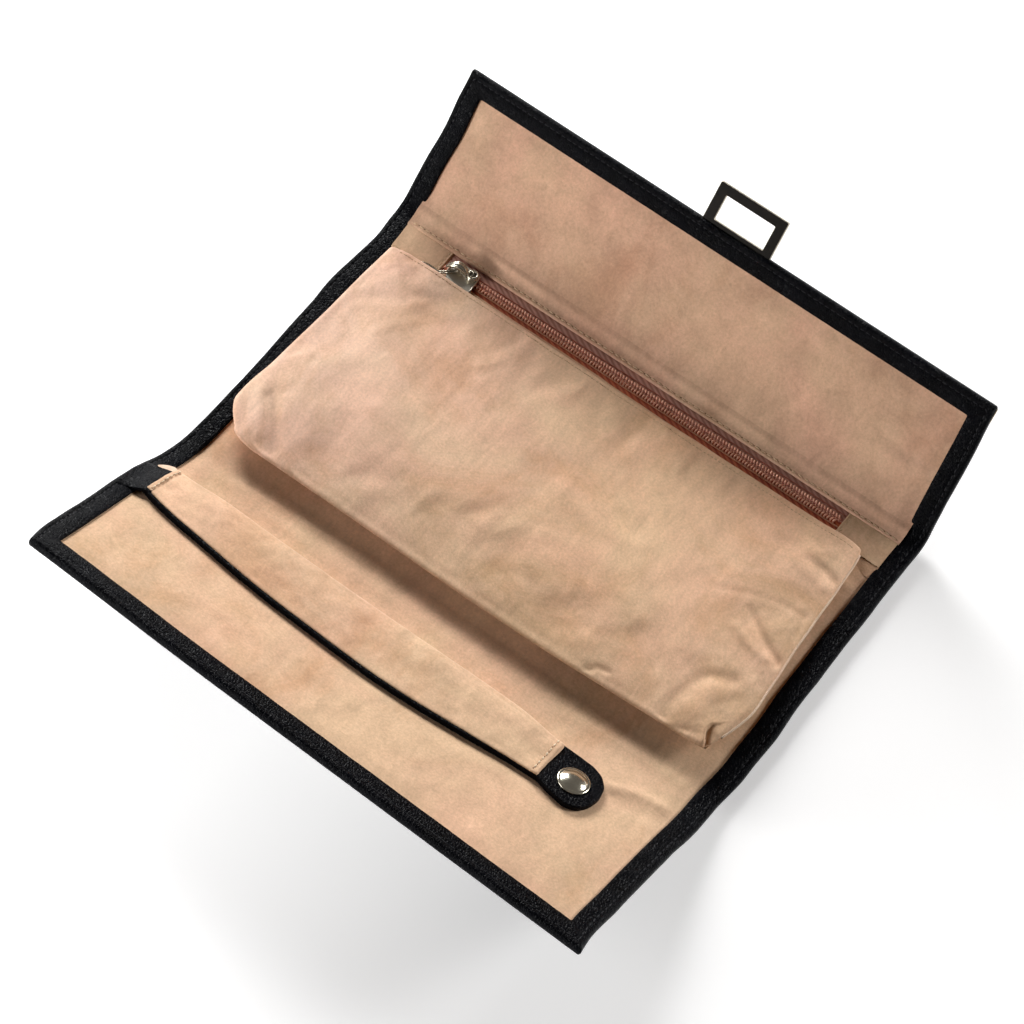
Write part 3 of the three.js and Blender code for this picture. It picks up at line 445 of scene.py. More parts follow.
# Name, start, end, body or bodies, and the leather and suede nodes that the new sheets stand for
PANELS = [
    ("front_flap", FRONT_END, -FRONT_OUTER - FOLD_REACH, "front_flap", "front_cover", "front_lining"),
    fold_row("front_outer_fold", "front_spine", "front_flap", -FRONT_OUTER, FOLD_REACH, "front_fold_outer"),
    ("front_spine", -FRONT_OUTER + FOLD_REACH, -FRONT_INNER - FOLD_REACH, "front_spine", "front_spine_cover",
     "front_spine_lining"),
    fold_row("front_inner_fold", "centre", "front_spine", -FRONT_INNER, FOLD_REACH, "front_fold_inner"),
    ("centre", -FRONT_INNER + FOLD_REACH, BACK_INNER - FOLD_REACH, "centre", "centre_cover",
     "centre_lining"),
    fold_row("back_inner_fold", "centre", "back_spine", BACK_INNER, FOLD_REACH, "back_fold_inner"),
    ("back_spine", BACK_INNER + FOLD_REACH, BACK_OUTER - BACK_FOLD_REACH, "back_spine", "back_spine_cover",
     "pocket_lining"),
    fold_row("back_outer_fold", "back_spine", "back_flap", BACK_OUTER, BACK_FOLD_REACH, "back_fold_outer"),
    ("back_flap", BACK_OUTER + BACK_FOLD_REACH, BACK_END, "back_flap", "back_cover", "back_lining"),
]
BACK_INNER_FOLD = PANELS[5][3]
BACK_OUTER_FOLD = PANELS[7][3]

# Across the border: distance in from the outer edge, and height
BORDER_PROFILE = [
    (8.7, 0.9), (8.85, 1.5), (8.75, 1.85), (8.3, 2.05), (6.8, 2.15), (4.6, 2.15), (3.5, 2.08),
    (3.1, 1.95), (2.8, 1.86), (2.5, 1.95), (2.1, 2.1), (1.4, 2.12), (0.75, 1.9), (0.25, 1.3), (0.0, 0.45),
    (0.0, -0.5), (0.25, -1.35), (0.8, -1.85), (1.6, -2.0), (2.5, -1.96), (2.8, -1.88), (3.1, -1.96),
    (4.6, -2.0), (8.8, -2.0),
]
STITCH_INSET = 2.8
STITCH_PITCH = 2.7


def edge_path(start, end, closed, step=1.6):
    """Points along the outer edge and, beside each, along the border's inner edge: lists of (x, s)."""
    count = max(3, int(abs(end - start) / step))
    if not closed:
        s = np.linspace(start, end, count)
        sides = []
        for side in (-1, 1):
            outer = np.stack([np.full(count, side * HALF_WIDTH), s], -1)
            inner = np.stack([np.full(count, side * (HALF_WIDTH - BORDER)), s], -1)
            sides.append((outer, inner))
        return sides
    way = 1 if end > start else -1
    radius = 0.9
    inner_radius = 0.7
    outer, inner = [], []

    def leg(a, b, c, d, number):
        for t in np.linspace(0, 1, number, endpoint=False):
            outer.append((a[0] + (b[0] - a[0]) * t, a[1] + (b[1] - a[1]) * t))
            inner.append((c[0] + (d[0] - c[0]) * t, c[1] + (d[1] - c[1]) * t))

    def corner(side, r, x_edge, s_edge, turn):
        centre_x, centre_s = side * (x_edge - r), s_edge - way * r
        return centre_x - side * r * -math.cos(turn), centre_s + way * r * math.sin(turn)

    inner_x, inner_s = HALF_WIDTH - BORDER, end - way * BORDER
    leg((-HALF_WIDTH, start), (-HALF_WIDTH, end - way * radius),
        (-inner_x, start), (-inner_x, inner_s - way * inner_radius), count)
    for turn in np.linspace(0, math.pi / 2, 7):
        outer.append(corner(-1, radius, HALF_WIDTH, end, turn))
        inner.append(corner(-1, inner_radius, inner_x, inner_s, turn))
    leg((-HALF_WIDTH + radius, end), (HALF_WIDTH - radius, end),
        (-inner_x + inner_radius, inner_s), (inner_x - inner_radius, inner_s), int(2 * HALF_WIDTH / step))
    for turn in np.linspace(math.pi / 2, 0, 7):
        outer.append(corner(1, radius, HALF_WIDTH, end, turn))
        inner.append(corner(1, inner_radius, inner_x, inner_s, turn))
    leg((HALF_WIDTH, end - way * radius), (HALF_WIDTH, start),
        (inner_x, inner_s - way * inner_radius), (inner_x, start), count)
    outer.append((HALF_WIDTH, start))
    inner.append((inner_x, start))
    return [(np.array(outer), np.array(inner))]


def border_points(outer, inner, inset, height):
    """Places a point of the border's cross-section all along the edge."""
    share = inset / BORDER
    flat = outer * (1 - share) + inner * share
    x, s = flat[:, 0], flat[:, 1]
    soft = 0.12 * waves(np.stack([x, s, np.full_like(x, inset * 2)], -1), 14, 5)
    rise = soft * (1 if height > 0.5 else 0.2)
    sway = 0.22 * waves(np.stack([x, s], -1), 38, 11) * np.clip(1 - inset / BORDER, 0, 1)
    outward = np.where(np.abs(x) > HALF_WIDTH - BORDER - 2, np.sign(x), 0)
    return place(x + outward * sway, s, height + rise)


def leather_panel(name, start, end, body, node):
    closed = name in ("front_flap", "back_flap")
    near, far = (end, start) if name == "front_flap" else (start, end)
    shape = Shape()
    paths = edge_path(near, far, closed)
    for k, (outer, inner) in enumerate(paths):
        rows = np.stack([border_points(outer, inner, inset, height) for inset, height in BORDER_PROFILE])
        flip = (name == "front_flap") if closed else k == 1
        shape.grid(rows, flip=not flip)
    inner_x = HALF_WIDTH - BORDER
    stop = far if not closed else far - math.copysign(BORDER, far - near)
    xs = np.linspace(-inner_x, inner_x, 60)
    ss = np.linspace(min(near, stop), max(near, stop), max(3, int(abs(stop - near) / 3)))
    shape.grid(place(*np.meshgrid(xs, ss), -2.0), flip=True)
    shape.piece("leather_" + name, LEATHER, "leather", body, [node])
    return paths


# Stitches

def capsules(shape, centres, directions, ups, size):
    """Small rounded loaves of one length, width and height, in millimetres."""
    length, width, height = np.array(size) * MM
    profile = [(-0.5, 0.35), (-0.32, 0.9), (0.0, 1.0), (0.32, 0.9), (0.5, 0.35)]
    angles = [2 * math.pi * k / 6 for k in range(6)]
    for centre, direction, up in zip(centres, directions, ups):
        side = np.cross(up, direction)
        offsets = [math.cos(a) * side * width / 2 + math.sin(a) * up * height / 2 for a in angles]
        rings = []
        for along, swell in profile:
            rings.append([centre + direction * along * length + offset * swell for offset in offsets])
        shape.loft(rings)


def stitch_line(shape, points, ups, pitch, size, holes=None):
    """Lays stitches along a line, given the surface's up direction at each point, with painted shade in the
    holes between them.
    """
    distance = np.concatenate([[0], np.cumsum(np.linalg.norm(np.diff(points, axis=0), axis=1))])
    count = int(distance[-1] / (pitch * MM))
    if count < 1:
        return
    at = (np.arange(count) + 0.5) * distance[-1] / count

    def along(values, shift=0.0):
        return np.stack([np.interp(at + shift, distance, values[:, i]) for i in range(3)], -1)

    rng = np.random.default_rng(3)
    centres = along(points)
    up = unit(along(ups))
    reach = 0.5 * MM
    direction = unit(along(points, reach) - along(points, -reach))
    side = np.cross(up, direction)
    direction = direction + side * rng.normal(0.05, 0.05, (count, 1)) + up * rng.normal(0, 0.02, (count, 1))
    direction = unit(direction)
    capsules(shape, centres, direction, up, size)
    # Painted shade: flat dark capsules in the holes between the stitches.
    if holes is not None:
        rim = centres + direction * (distance[-1] / count) / 2 - up * (size[2] / 2 - 0.09) * MM
        capsules(holes, rim, direction, up, (0.62, 0.5, 0.12))


def border_stitches(name, paths, body):
    """Black stitches in the groove on both sides of the border."""
    shape = Shape()
    for outer, inner in paths:
        for height, lift in ((1.86, 0.15), (-1.88, -0.15)):
            points = border_points(outer, inner, STITCH_INSET, height)
            ups = unit(border_points(outer, inner, STITCH_INSET, height + lift) - points)
            stitch_line(shape, points, ups, STITCH_PITCH, (2.0, 0.6, 0.5))
    shape.piece("stitches_" + name, THREAD_BLACK, "leather", body)


def line_stitches(name, xs, ss, hs, material, body, pitch=2.8, length=1.9, width=0.42):
    """Stitches on the suede, with painted shade in the holes between them."""
    points = place(xs, ss, hs)
    ups = unit(place(xs, ss, hs + 0.5) - points)
    shape, dark = Shape(), Shape()
    stitch_line(shape, points, ups, pitch, (length, width, 0.46), dark)
    shape.piece(name, material, "suede", body)
    dark.piece(name.replace("stitches", "holes"), HOLE_SHADE, "suede", body)


for panel, first, last, carrier, leather_node, _ in PANELS:
    border_stitches(panel, leather_panel(panel, first, last, carrier, leather_node), carrier)


# Suede lining

HALF_LINING = HALF_WIDTH - BORDER
LINING_TUCK = 1.2
FACING_EDGE = 73.0
FACING_STITCHES = 1.7


def facing_edge(x):
    """The zip's upper hem runs a little askew, further back at the right."""
    return FACING_EDGE + 0.7 * (x / HALF_LINING)


def crease(x, s, path, width, height):
    """A soft ridge, or with a negative height a crease, along a path of (x, s) points."""
    best = np.full(np.broadcast(x, s).shape, 1e9)
    for (x0, s0), (x1, s1) in zip(path[:-1], path[1:]):
        dx, ds = x1 - x0, s1 - s0
        t = np.clip(((x - x0) * dx + (s - s0) * ds) / (dx * dx + ds * ds), 0, 1)
        best = np.minimum(best, np.hypot(x - x0 - t * dx, s - s0 - t * ds))
    return height * np.exp(-((best / width) ** 2))


LINING_CREASES = [
    ([(92, -84), (100, -79), (117, -76)], 2.4, 0.9),
    ([(70, -96), (95, -88), (117, -83)], 4.0, -0.7),
    ([(60, -66), (90, -63), (117, -62)], 3.0, 0.5),
    ([(-117, -66), (-60, -69), (20, -68)], 5.0, 0.5),
    ([(30, -118), (60, -112), (80, -113)], 3.0, 0.25),
    ([(-60, -130), (-30, -124), (0, -126)], 4.0, 0.25),
    ([(95, 40), (106, 46), (117, 47)], 2.0, 0.7),
    ([(60, 96), (90, 104), (117, 108)], 3.0, 0.4),
    ([(85, 112), (103, 109), (117, 111)], 1.6, -0.35),
    ([(40, 92), (75, 90), (117, 91)], 4.5, 0.6),
    ([(-117, 92), (-60, 88), (40, 88)], 6.0, 0.35),
    ([(-90, -58.6), (-40, -58.2), (-25, -58.8)], 0.5, 0.22),
    ([(-22, -59.0), (20, -58.4), (60, -58.8), (98, -59.4)], 0.5, 0.3),
    ([(-95, -66), (-60, -62), (-30, -60)], 1.6, 0.3),
]


def lining_height(x, s):
    """Height of the suede above the panels' middle, with soft waves and the creases of use."""
    spot = np.stack([x, s], -1)
    height = LINING_TOP + 0.16 * waves(spot, 50, 21) + 0.06 * waves(spot, 14, 22)
    for path, width, lift in LINING_CREASES:
        height = height + crease(x, s, path, width, lift)
    edge = smooth(HALF_LINING - np.abs(x), 0, 7)
    ends = smooth(s - (FRONT_END + BORDER), 0, 7) * smooth(BACK_END - BORDER - s, 0, 7)
    height = 0.95 + (height - 0.95 + 0.3) * edge * ends
    hem = 1.75 * (1 - smooth(s, 78.5, 94)) * smooth(s, 70, 72)
    ridge = 1.25 * bump_at(s, 83.0, 3.6) * (0.75 + 0.25 * waves(x[..., None], 60, 31))
    return height + hem + ridge


def suede_sheet(name, grid_x, grid_s, heights, material, nodes, body):
    shape = Shape()
    shape.grid(place(grid_x, grid_s, heights))
    shape.piece(name, material, "suede", body, nodes)


def back_fold_lining(end, node, body):
    """The suede over the back fold, whose rolled and stitched edge lies behind the zip."""
    rolled = [(1.9, 1.72), (0.7, 1.78), (0.15, 1.95), (0.0, 2.3), (0.1, 2.65), (0.42, 2.95), (0.9, 3.1)]
    insets = np.array([inset for inset, _ in rolled] + list(np.linspace(1.4, end - FACING_EDGE, 22)))
    grid_x, inset = np.meshgrid(LINING_XS, insets)
    grid_s = facing_edge(grid_x) * (1 - inset / insets[-1]) + end * inset / insets[-1]
    heights = lining_height(grid_x, grid_s)
    seam = facing_edge(grid_x) + FACING_STITCHES
    pucker = 0.06 * np.cos(2 * math.pi * grid_x / 2.8) * bump_at(grid_s, seam, 1.6)
    heights = heights - 0.22 * bump_at(grid_s, seam, 0.7) + pucker
    for i, (_, height) in enumerate(rolled):
        heights[i] = height + i / (len(rolled) - 1) * (heights[i] - rolled[-1][1])
    # The back fold takes the darker suede of painted shade.
    suede_sheet("suede_back_outer_fold", grid_x, grid_s, heights, SUEDE_BACK_SHADED, [node, "zip_facing"], body)


def lining_panel(name, start, end, body, node):
    low, high = min(start, end), max(start, end)
    if name == "front_flap":
        low = FRONT_END + BORDER - LINING_TUCK
    if name == "back_flap":
        high = BACK_END - BORDER + LINING_TUCK
    ss = np.linspace(low, high, max(4, int((high - low) / 1.2)))
    grid_x, grid_s = np.meshgrid(LINING_XS, ss)
    heights = np.full_like(grid_x, 1.0) if name == "back_spine" else lining_height(grid_x, grid_s)
    # The back flap's lining takes the darker suede of painted shade.
    material = SUEDE_BACK_SHADED if name == "back_flap" else SUEDE
    suede_sheet("suede_" + name, grid_x, grid_s, heights, material, [node], body)


LINING_XS = np.linspace(-HALF_LINING - LINING_TUCK, HALF_LINING + LINING_TUCK, 170)
for panel, first, last, carrier, _, suede_node in PANELS:
    if panel == "back_outer_fold":
        back_fold_lining(last, suede_node, carrier)
    else:
        lining_panel(panel, first, last, carrier, suede_node)


def front_board():
    """The stiff board of the front flap, which follows the folded shape."""
    x0, x1, s0, s1, h0, h1 = -116.5, 116.5, -150.5, -81, -1.0, 0.2
    xs, ss = np.linspace(x0, x1, 60), np.linspace(s0, s1, 24)
    shape = Shape()
    shape.grid(place(*np.meshgrid(xs, ss), h1))
    shape.grid(place(*np.meshgrid(xs, ss), h0), flip=True)
    for line_x, line_s, flip in ((xs, s0, False), (xs, s1, True), (x0, ss, True), (x1, ss, False)):
        shape.grid(np.stack([place(line_x, line_s, h) for h in (h0, h1)]), flip=flip)
    shape.piece("board_front_flap", BOARD, "board", "front_flap", ["front_board"], flat=True)


front_board()


# Tubes and the hems beside the zip

def tube(shape, points, radius, ring=6, up=(0, 0, 1), squash=1.0, taper=1.0, closed=False):
    """A round bar along points; squash flattens it towards up."""
    points = np.asarray(points, float)
    tangent = np.roll(points, -1, 0) - np.roll(points, 1, 0) if closed else np.gradient(points, axis=0)
    tangent /= np.linalg.norm(tangent, axis=1)[:, None] + 1e-12
    side = np.cross(np.broadcast_to(up, tangent.shape), tangent)
    side /= np.linalg.norm(side, axis=1)[:, None] + 1e-12
    top = np.cross(tangent, side)
    radii = radius * (np.ones(len(points)) * taper)
    angles = np.linspace(0, 2 * math.pi, ring, endpoint=False)
    rings = points[:, None] + radii[:, None, None] * (
        np.cos(angles)[None, :, None] * side[:, None] + squash * np.sin(angles)[None, :, None] * top[:, None]
    )
    shape.loft(rings, closed)


facing_x = np.linspace(-HALF_LINING + 0.5, HALF_LINING - 0.5, 300)
facing_s = facing_edge(facing_x) + FACING_STITCHES + 0.15 * waves(facing_x[:, None], 40, 24)
facing_h = lining_height(facing_x, facing_s) - 0.05
line_stitches("stitches_facing", facing_x, facing_s, facing_h, THREAD_BEIGE, BACK_OUTER_FOLD, 2.9, 1.95, 0.5)

LOWER_HEM = 62.6
HEM_DEPTH = 8.1


def lower_hem():
    """Its folded edge lies beside the zip's teeth, and the pouch covers most of it."""
    half = HALF_LINING + 0.8
    rolled = [
        (0.0, 1.2), (4.0, 1.9), (6.3, 2.25), (7.3, 2.35), (7.8, 2.25), (8.05, 2.0), (HEM_DEPTH, 1.75),
        (7.9, 1.55),
    ]
    grid_x, along = np.meshgrid(np.linspace(-half, half, 170), [r[0] for r in rolled])
    heights = np.broadcast_to(np.array([r[1] for r in rolled])[:, None], grid_x.shape)
    heights = heights + 0.08 * waves(np.stack([grid_x, along], -1), 20, 44) * (heights > 1.8)
    grid_s = LOWER_HEM - HEM_DEPTH + along + 0.25 * waves(grid_x[..., None], 70, 45)
    suede_sheet("suede_lower_hem", grid_x, grid_s, heights, SUEDE, ["pouch_hem"], BACK_INNER_FOLD)
    seam_x = np.linspace(-half + 1, half - 1, 300)
    line_stitches("stitches_lower_hem", seam_x, LOWER_HEM - 2.2, 2.3, THREAD_BEIGE, BACK_INNER_FOLD)


lower_hem()


def end_tab(name, x0, x1, node, inner):
    """Suede tab over an end of the zip, its inner edge folded and stitched."""
    grid_x, grid_s = np.meshgrid(np.linspace(x0, x1, 60), np.linspace(60.5, 75.0, 24))
    inset = np.abs(grid_x - inner)
    heights = 1.75 + 0.75 * np.sqrt(np.clip(1 - (1 - np.clip(inset / 0.45, 0, 1)) ** 2, 0, 1))
    heights = heights - 0.2 * bump_at(inset, 1.6, 0.5)
    heights = heights + 0.08 * waves(np.stack([grid_x, grid_s], -1), 9, 51) * smooth(inset, 0, 1.5)
    suede_sheet(name, grid_x, grid_s, heights, SUEDE_TAB, [node], "back_spine")
    seam_x = inner + (1.6 if x1 > inner else -1.6)
    seam_s = np.linspace(61.0, 72.6, 30)
    line_stitches("stitches_" + name, seam_x, seam_s, 2.4, THREAD_BEIGE, "back_spine", 2.6, 1.7, 0.5)


end_tab("zip_tab_left", -HALF_LINING - 0.8, -94.2, "zip_end_left", -94.2)
end_tab("zip_tab_right", 95.5, HALF_LINING + 0.8, "zip_end_right", 95.5)


# The zip: tapes, cord lines, and two rows of coiled teeth

ZIP_MIDDLE = 66.4
ZIP_PIVOT = -76
ZIP_SLANT = 0.0105
ROW_WIDTH = 1.45
ROW_WIDENING = 0.0026
CORD_SPAN = (-93, 95.3)
TAPE_SPAN = (-104, 105)
COIL_SPAN = (-93.2, 95.2)
THREAD_SPAN = (-92, 95)
THREAD_SHARE = 0.32
COIL_PITCH = 1.32
COIL_WIDTH = 0.55
COIL_RADIUS = 0.4 * MM
COIL_TURN = [
    (1.0, 0.0, 1.75), (0.98, 0.1, 2.45), (0.86, 0.3, 2.92), (0.66, 0.58, 2.9), (0.42, 0.85, 2.45),
    (0.12, 1.0, 2.05), (-0.1, 1.05, 1.85),
]


def zip_slant(x):
    """The zip runs a little askew."""
    return ZIP_SLANT * (x - ZIP_PIVOT)


def zip_at(x, share):
    """Where a line of the zip runs: -1 is the front row's outer edge, 0 the middle, 1 the rear row's."""
    return ZIP_MIDDLE + zip_slant(x) + share * (ROW_WIDTH + ROW_WIDENING * (x - ZIP_PIVOT))


def zip_line(name, share, height, width, thickness, material):
    xs = np.linspace(*CORD_SPAN, 150)
    shape = Shape()
    tube(shape, place(xs, zip_at(xs, share), height), width / 2 * MM, 8, squash=thickness / width)
    shape.piece(name, material, "zip_tape", "back_spine")


def zip_band(name, s0, s1, h0, h1, material, node):
    grid_x, t = np.meshgrid(np.linspace(*TAPE_SPAN, 90), np.linspace(0, 1, 12))
    grid_s = s0 * (1 - t) + s1 * t + zip_slant(grid_x)
    heights = h0 * (1 - t) + h1 * t + 0.05 * waves(np.stack([grid_x, grid_s], -1), 12, 61)
    shape = Shape()
    shape.grid(place(grid_x, grid_s, heights))
    shape.piece(name, material, "zip_tape", "back_spine", [node])


zip_band("zip_tape_front", 59.5, ZIP_MIDDLE, 1.5, 1.75, TAPE_DEEP, "zip_tape_lower")
zip_band("zip_tape_rear", ZIP_MIDDLE, 74.0, 1.75, 1.7, TAPE, "zip_tape_upper")
zip_line("zip_cord_front", -1.38, 1.9, 0.7, 0.6, CORD)
zip_line("zip_cord_edge", 1.9, 1.85, 0.35, 0.35, THREAD_RUST)


def coil_row(name, side, phase, node):
    """Turns of the coil: each climbs from the tape, arches and dips to the middle between its neighbours."""
    shape, thread, stitches = Shape(), Shape(), Shape()
    start = COIL_SPAN[0] + phase * COIL_PITCH
    across, ahead, heights = np.array(COIL_TURN).T
    for i in range(int((COIL_SPAN[1] - start) / COIL_PITCH)):
        xs = start + i * COIL_PITCH + (ahead - 0.5) * COIL_WIDTH
        turn = place(xs, zip_at(xs, side * across), heights)
        tube(shape, turn, COIL_RADIUS, 7, up=(1, 0, 0), taper=[0.85, 1.0, 1.12, 1.12, 1.0, 0.85, 0.7])
    xs = np.linspace(*THREAD_SPAN, 240)
    line_s = zip_at(xs, side * THREAD_SHARE)
    tube(thread, place(xs, line_s, 2.45 + 0.08 * np.cos(2 * math.pi * xs / COIL_PITCH)), 0.26 * MM)
    points = place(xs, line_s, 2.66)
    above = np.broadcast_to((0.0, 0.0, 1.0), points.shape)
    stitch_line(stitches, points, above, COIL_PITCH, (0.6, 0.34, 0.26))
    shape.piece(name, COIL, "zip_coil", "back_spine", [node])
    thread.piece(name + "_thread", THREAD_RUST, "zip_coil", "back_spine")
    stitches.piece(name + "_stitches", THREAD_PINK, "zip_coil", "back_spine")


coil_row("zip_teeth_front", -1, 0.0, "zip_coil_lower")
coil_row("zip_teeth_rear", 1, 0.5, "zip_coil_upper")


# Slider with its saddle and rings, and the pull that hides under the pouch's edge, in world millimetres

RING_X, RING_Y = -81.7, 67.5
PULL_X, PULL_Y = -97.3, 59.7
PULL_HALF_LENGTH = 5.6
PULL_HALF_WIDTH = 2.3


def circle(count=32):
    """A unit circle's x and y."""
    angles = np.linspace(0, 2 * math.pi, count, endpoint=False)
    return np.cos(angles), np.sin(angles)


def plate(shape, outline, z0, z1, bevel):
    """A flat plate with softened edges from a closed outline."""
    outline = np.asarray(outline, float)
    inward = unit(outline.mean(0) - outline)
    levels = ((bevel * 3, z0), (bevel, z0), (0, z0 + bevel), (0, z1 - bevel), (bevel, z1), (bevel * 3, z1))
    rings = [np.column_stack([outline + inward * inset, np.full(len(outline), z)]) for inset, z in levels]
    shape.loft(np.array(rings) * MM)


def slider():
    turns = np.linspace(0, math.pi / 2, 9)[1:]
    body = [(-78.7, 59.4), (-78.75, 62.0), (-79.0, 65.0), (-79.3, 67.3)]
    body += [(RING_X + 2.4 * math.cos(a), RING_Y + 2.4 * math.sin(a)) for a in turns]
    body += [
        (-84.5, 70.4), (-87.5, 70.5), (-90.2, 69.6), (-91.4, 68.0), (-91.6, 66.0), (-91.2, 63.5),
        (-90.0, 61.5), (-88.6, 59.4),
    ]
    shape = Shape()
    plate(shape, body, 5.05, 5.5, 0.14)
    tube(shape, np.array([(x + 0.12, y, 5.62) for x, y in body[:12]]) * MM, 0.3 * MM, 8)
    tube(shape, np.array([(x, y, 5.5) for x, y in body[13:]]) * MM, 0.26 * MM, 8)
    for y in (63.3, 69.9):
        flange = np.array([(x, y, 4.55) for x in np.linspace(-90.2, -79.6, 12)])
        tube(shape, flange * MM, 0.4 * MM, 8, squash=1.5)
    plate(shape, [(x, max(y, 63.0)) for x, y in body], 2.5, 3.1, 0.15)
    shape.piece("slider_body", NICKEL_SATIN, "metal", "zip_slider", ["zip_slider"])


SADDLE_SECTION = [
    (-1.0, 1.5), (-1.04, 0.9), (-1.0, 0.42), (-0.86, 0.14), (-0.62, 0.1), (-0.52, 0.2), (-0.42, 0.08),
    (0.0, 0.0), (0.42, 0.08), (0.52, 0.2), (0.62, 0.1), (0.86, 0.14), (1.0, 0.42), (1.04, 0.9),
    (1.0, 1.5), (0.6, 1.3), (-0.6, 1.3), (-1.0, 1.5),
]


def saddle():
    """The arched bail over the slider, with stacked rings and a hook at its end."""
    shape = Shape()
    t = np.linspace(0, 1, 30)
    xs = -92.4 + 9.6 * t
    ys = 65.2 + 1.9 * np.sin(math.pi * t * 0.72) - 0.5 * t
    zs = 5.9 + 4.0 * np.sin(math.pi * (0.1 + 0.84 * t)) ** 0.75
    half = 0.75 + 1.0 * np.sin(math.pi * np.clip(t * 0.95 + 0.05, 0, 1)) ** 0.7
    rows = [np.column_stack([xs, ys + share * half, zs - drop]) for share, drop in SADDLE_SECTION]
    shape.grid(np.stack(rows) * MM, flip=True)
    x, y = circle()
    for radius, height, thick in ((1.95, 7.35, 0.46), (1.98, 6.6, 0.5), (2.0, 5.9, 0.5)):
        ring = np.column_stack([RING_X + radius * x, RING_Y + radius * y, height + 0.15 * x])
        tube(shape, ring * MM, thick * MM, 9, closed=True)
    hook = np.column_stack([RING_X - 0.55 + 0.75 * x, RING_Y - 0.15 + 1.05 * y, 7.45 + 0.5 * y])
    tube(shape, hook * MM, 0.3 * MM, 7, closed=True)
    shape.piece("slider_saddle", NICKEL, "metal", "zip_slider", ["zip_bail"])


def pull():
    """Slim link from the slider to a flat oval pull that hides under the pouch's edge but for its rim."""
    shape = Shape()
    link = np.array([
        (-87.0, 66.4, 6.5), (-88.4, 65.2, 6.3), (-89.8, 64.0, 5.9), (-91.3, 62.8, 5.6), (-92.9, 61.7, 5.35),
        (-94.4, 60.9, 5.15),
    ])
    for shift in (-0.315, 0.315):
        tube(shape, (link + (shift, -shift, 0)) * MM, 0.34 * MM, 8)
    x, y = circle(20)
    tube(shape, np.column_stack([-87.4 + x, 66.6 + y, np.full(20, 6.5)]) * MM, 0.32 * MM, 7, closed=True)
    x, y = circle(72)
    levels = (
        (0.8, 4.75), (0.97, 4.75), (1.0, 4.95), (1.0, 5.15), (0.975, 5.28), (0.9, 5.28), (0.86, 5.1),
        (0.6, 5.08), (0.02, 5.08),
    )
    rings = []
    for share, z in levels:
        oval_x, oval_y = PULL_X + PULL_HALF_LENGTH * share * x, PULL_Y + PULL_HALF_WIDTH * share * y
        rings.append(np.column_stack([oval_x, oval_y, np.full(72, z)]))
    shape.loft(np.array(rings) * MM)
    shape.piece("pull_blade", NICKEL, "metal", "zip_pull", ["zip_pull"])


slider()
saddle()
pull()


# Ring bar: padded suede over a leather strip, hemmed at both ends, with a leather tab and a snap

def flap_s(e):
    return -(FRONT_OUTER + np.asarray(e, float))


BAR_NEAR = [
    (-113.5, 23.6), (-111, 24.5), (-98.7, 27.6), (-87, 29.2), (-70.9, 31.4), (-52, 33.4), (-35, 34.2),
    (-18, 34.8), (0, 35.0), (19.8, 33.8), (32.4, 32.3), (45.7, 30.9), (58.2, 29.5), (70, 28.6),
]
BAR_FAR = [(-113.5, 4.6), (-90, 5.6), (0, 5.8), (46, 5.4), (70, 6.4)]
BAR_SECTION = [(0, 3.4), (0.05, 6.6), (0.15, 7.5), (0.3, 7.5), (0.62, 6.2), (0.95, 4.75), (1.0, 4.5)]


def bar_e(x, t):
    """Distance down the flap for a place along the bar, from its far edge, 0, to its near edge, 1."""
    e = curve(BAR_FAR, x) * (1 - t) + curve(BAR_NEAR, x) * t
    return e + 1.2 * flap_lift(x, flap_s(e))


def bar_end_x(e, left):
    return (-113.6 - 0.035 * (e - 13)) if left else (69.9 + 0.03 * (e - 20))


def bar_height(x, t):
    """Height of the cushion over the flap's middle."""
    ends = 0.62 + 0.38 * smooth(x, -113, -86) * smooth(-x, -70, -46)
    full = curve(BAR_SECTION, t) - 1.7
    edge = smooth(t, 0.55, 1.0)
    h = 1.7 + full * (ends * (1 - edge) + edge)
    wide, narrow = np.stack([x / 2.2, t * 30], -1), np.stack([x, t * 30], -1)
    sag = 0.32 * waves(wide, 26, 71) + 0.1 * waves(narrow, 9, 72)
    return h + sag * smooth(t, 0, 0.2) * smooth(1 - t, 0, 0.1)


# The bar's left end stays sewn to the flap; the flap, the bar and two points where the bar turns up next to
# that end
BAR_BEND = ("front_flap", "ring_bar", tuple(place(-116.5, flap_s(15), 3)), tuple(place(-106, flap_s(15), 3)))
# Shares of the bar's width over its top, then shares and heights under it
BAR_OVER = np.concatenate([
    [0, 0.004, 0.015, 0.035], np.linspace(0.07, 0.93, 26), [0.955, 0.972, 0.985, 0.994, 1.0],
])
BAR_UNDER = [(0.985, 3.9), (0.5, 3.6), (0.015, 3.0), (0.0, 3.4)]


def bar_spot(u, t):
    """Across the roll and down the flap, for a share of the bar's length and a share of its width."""
    def between_ends(e):
        return bar_end_x(e, True) * (1 - u) + bar_end_x(e, False) * u

    x = between_ends(bar_e(between_ends(15.0), t))
    return x, bar_e(x, t)


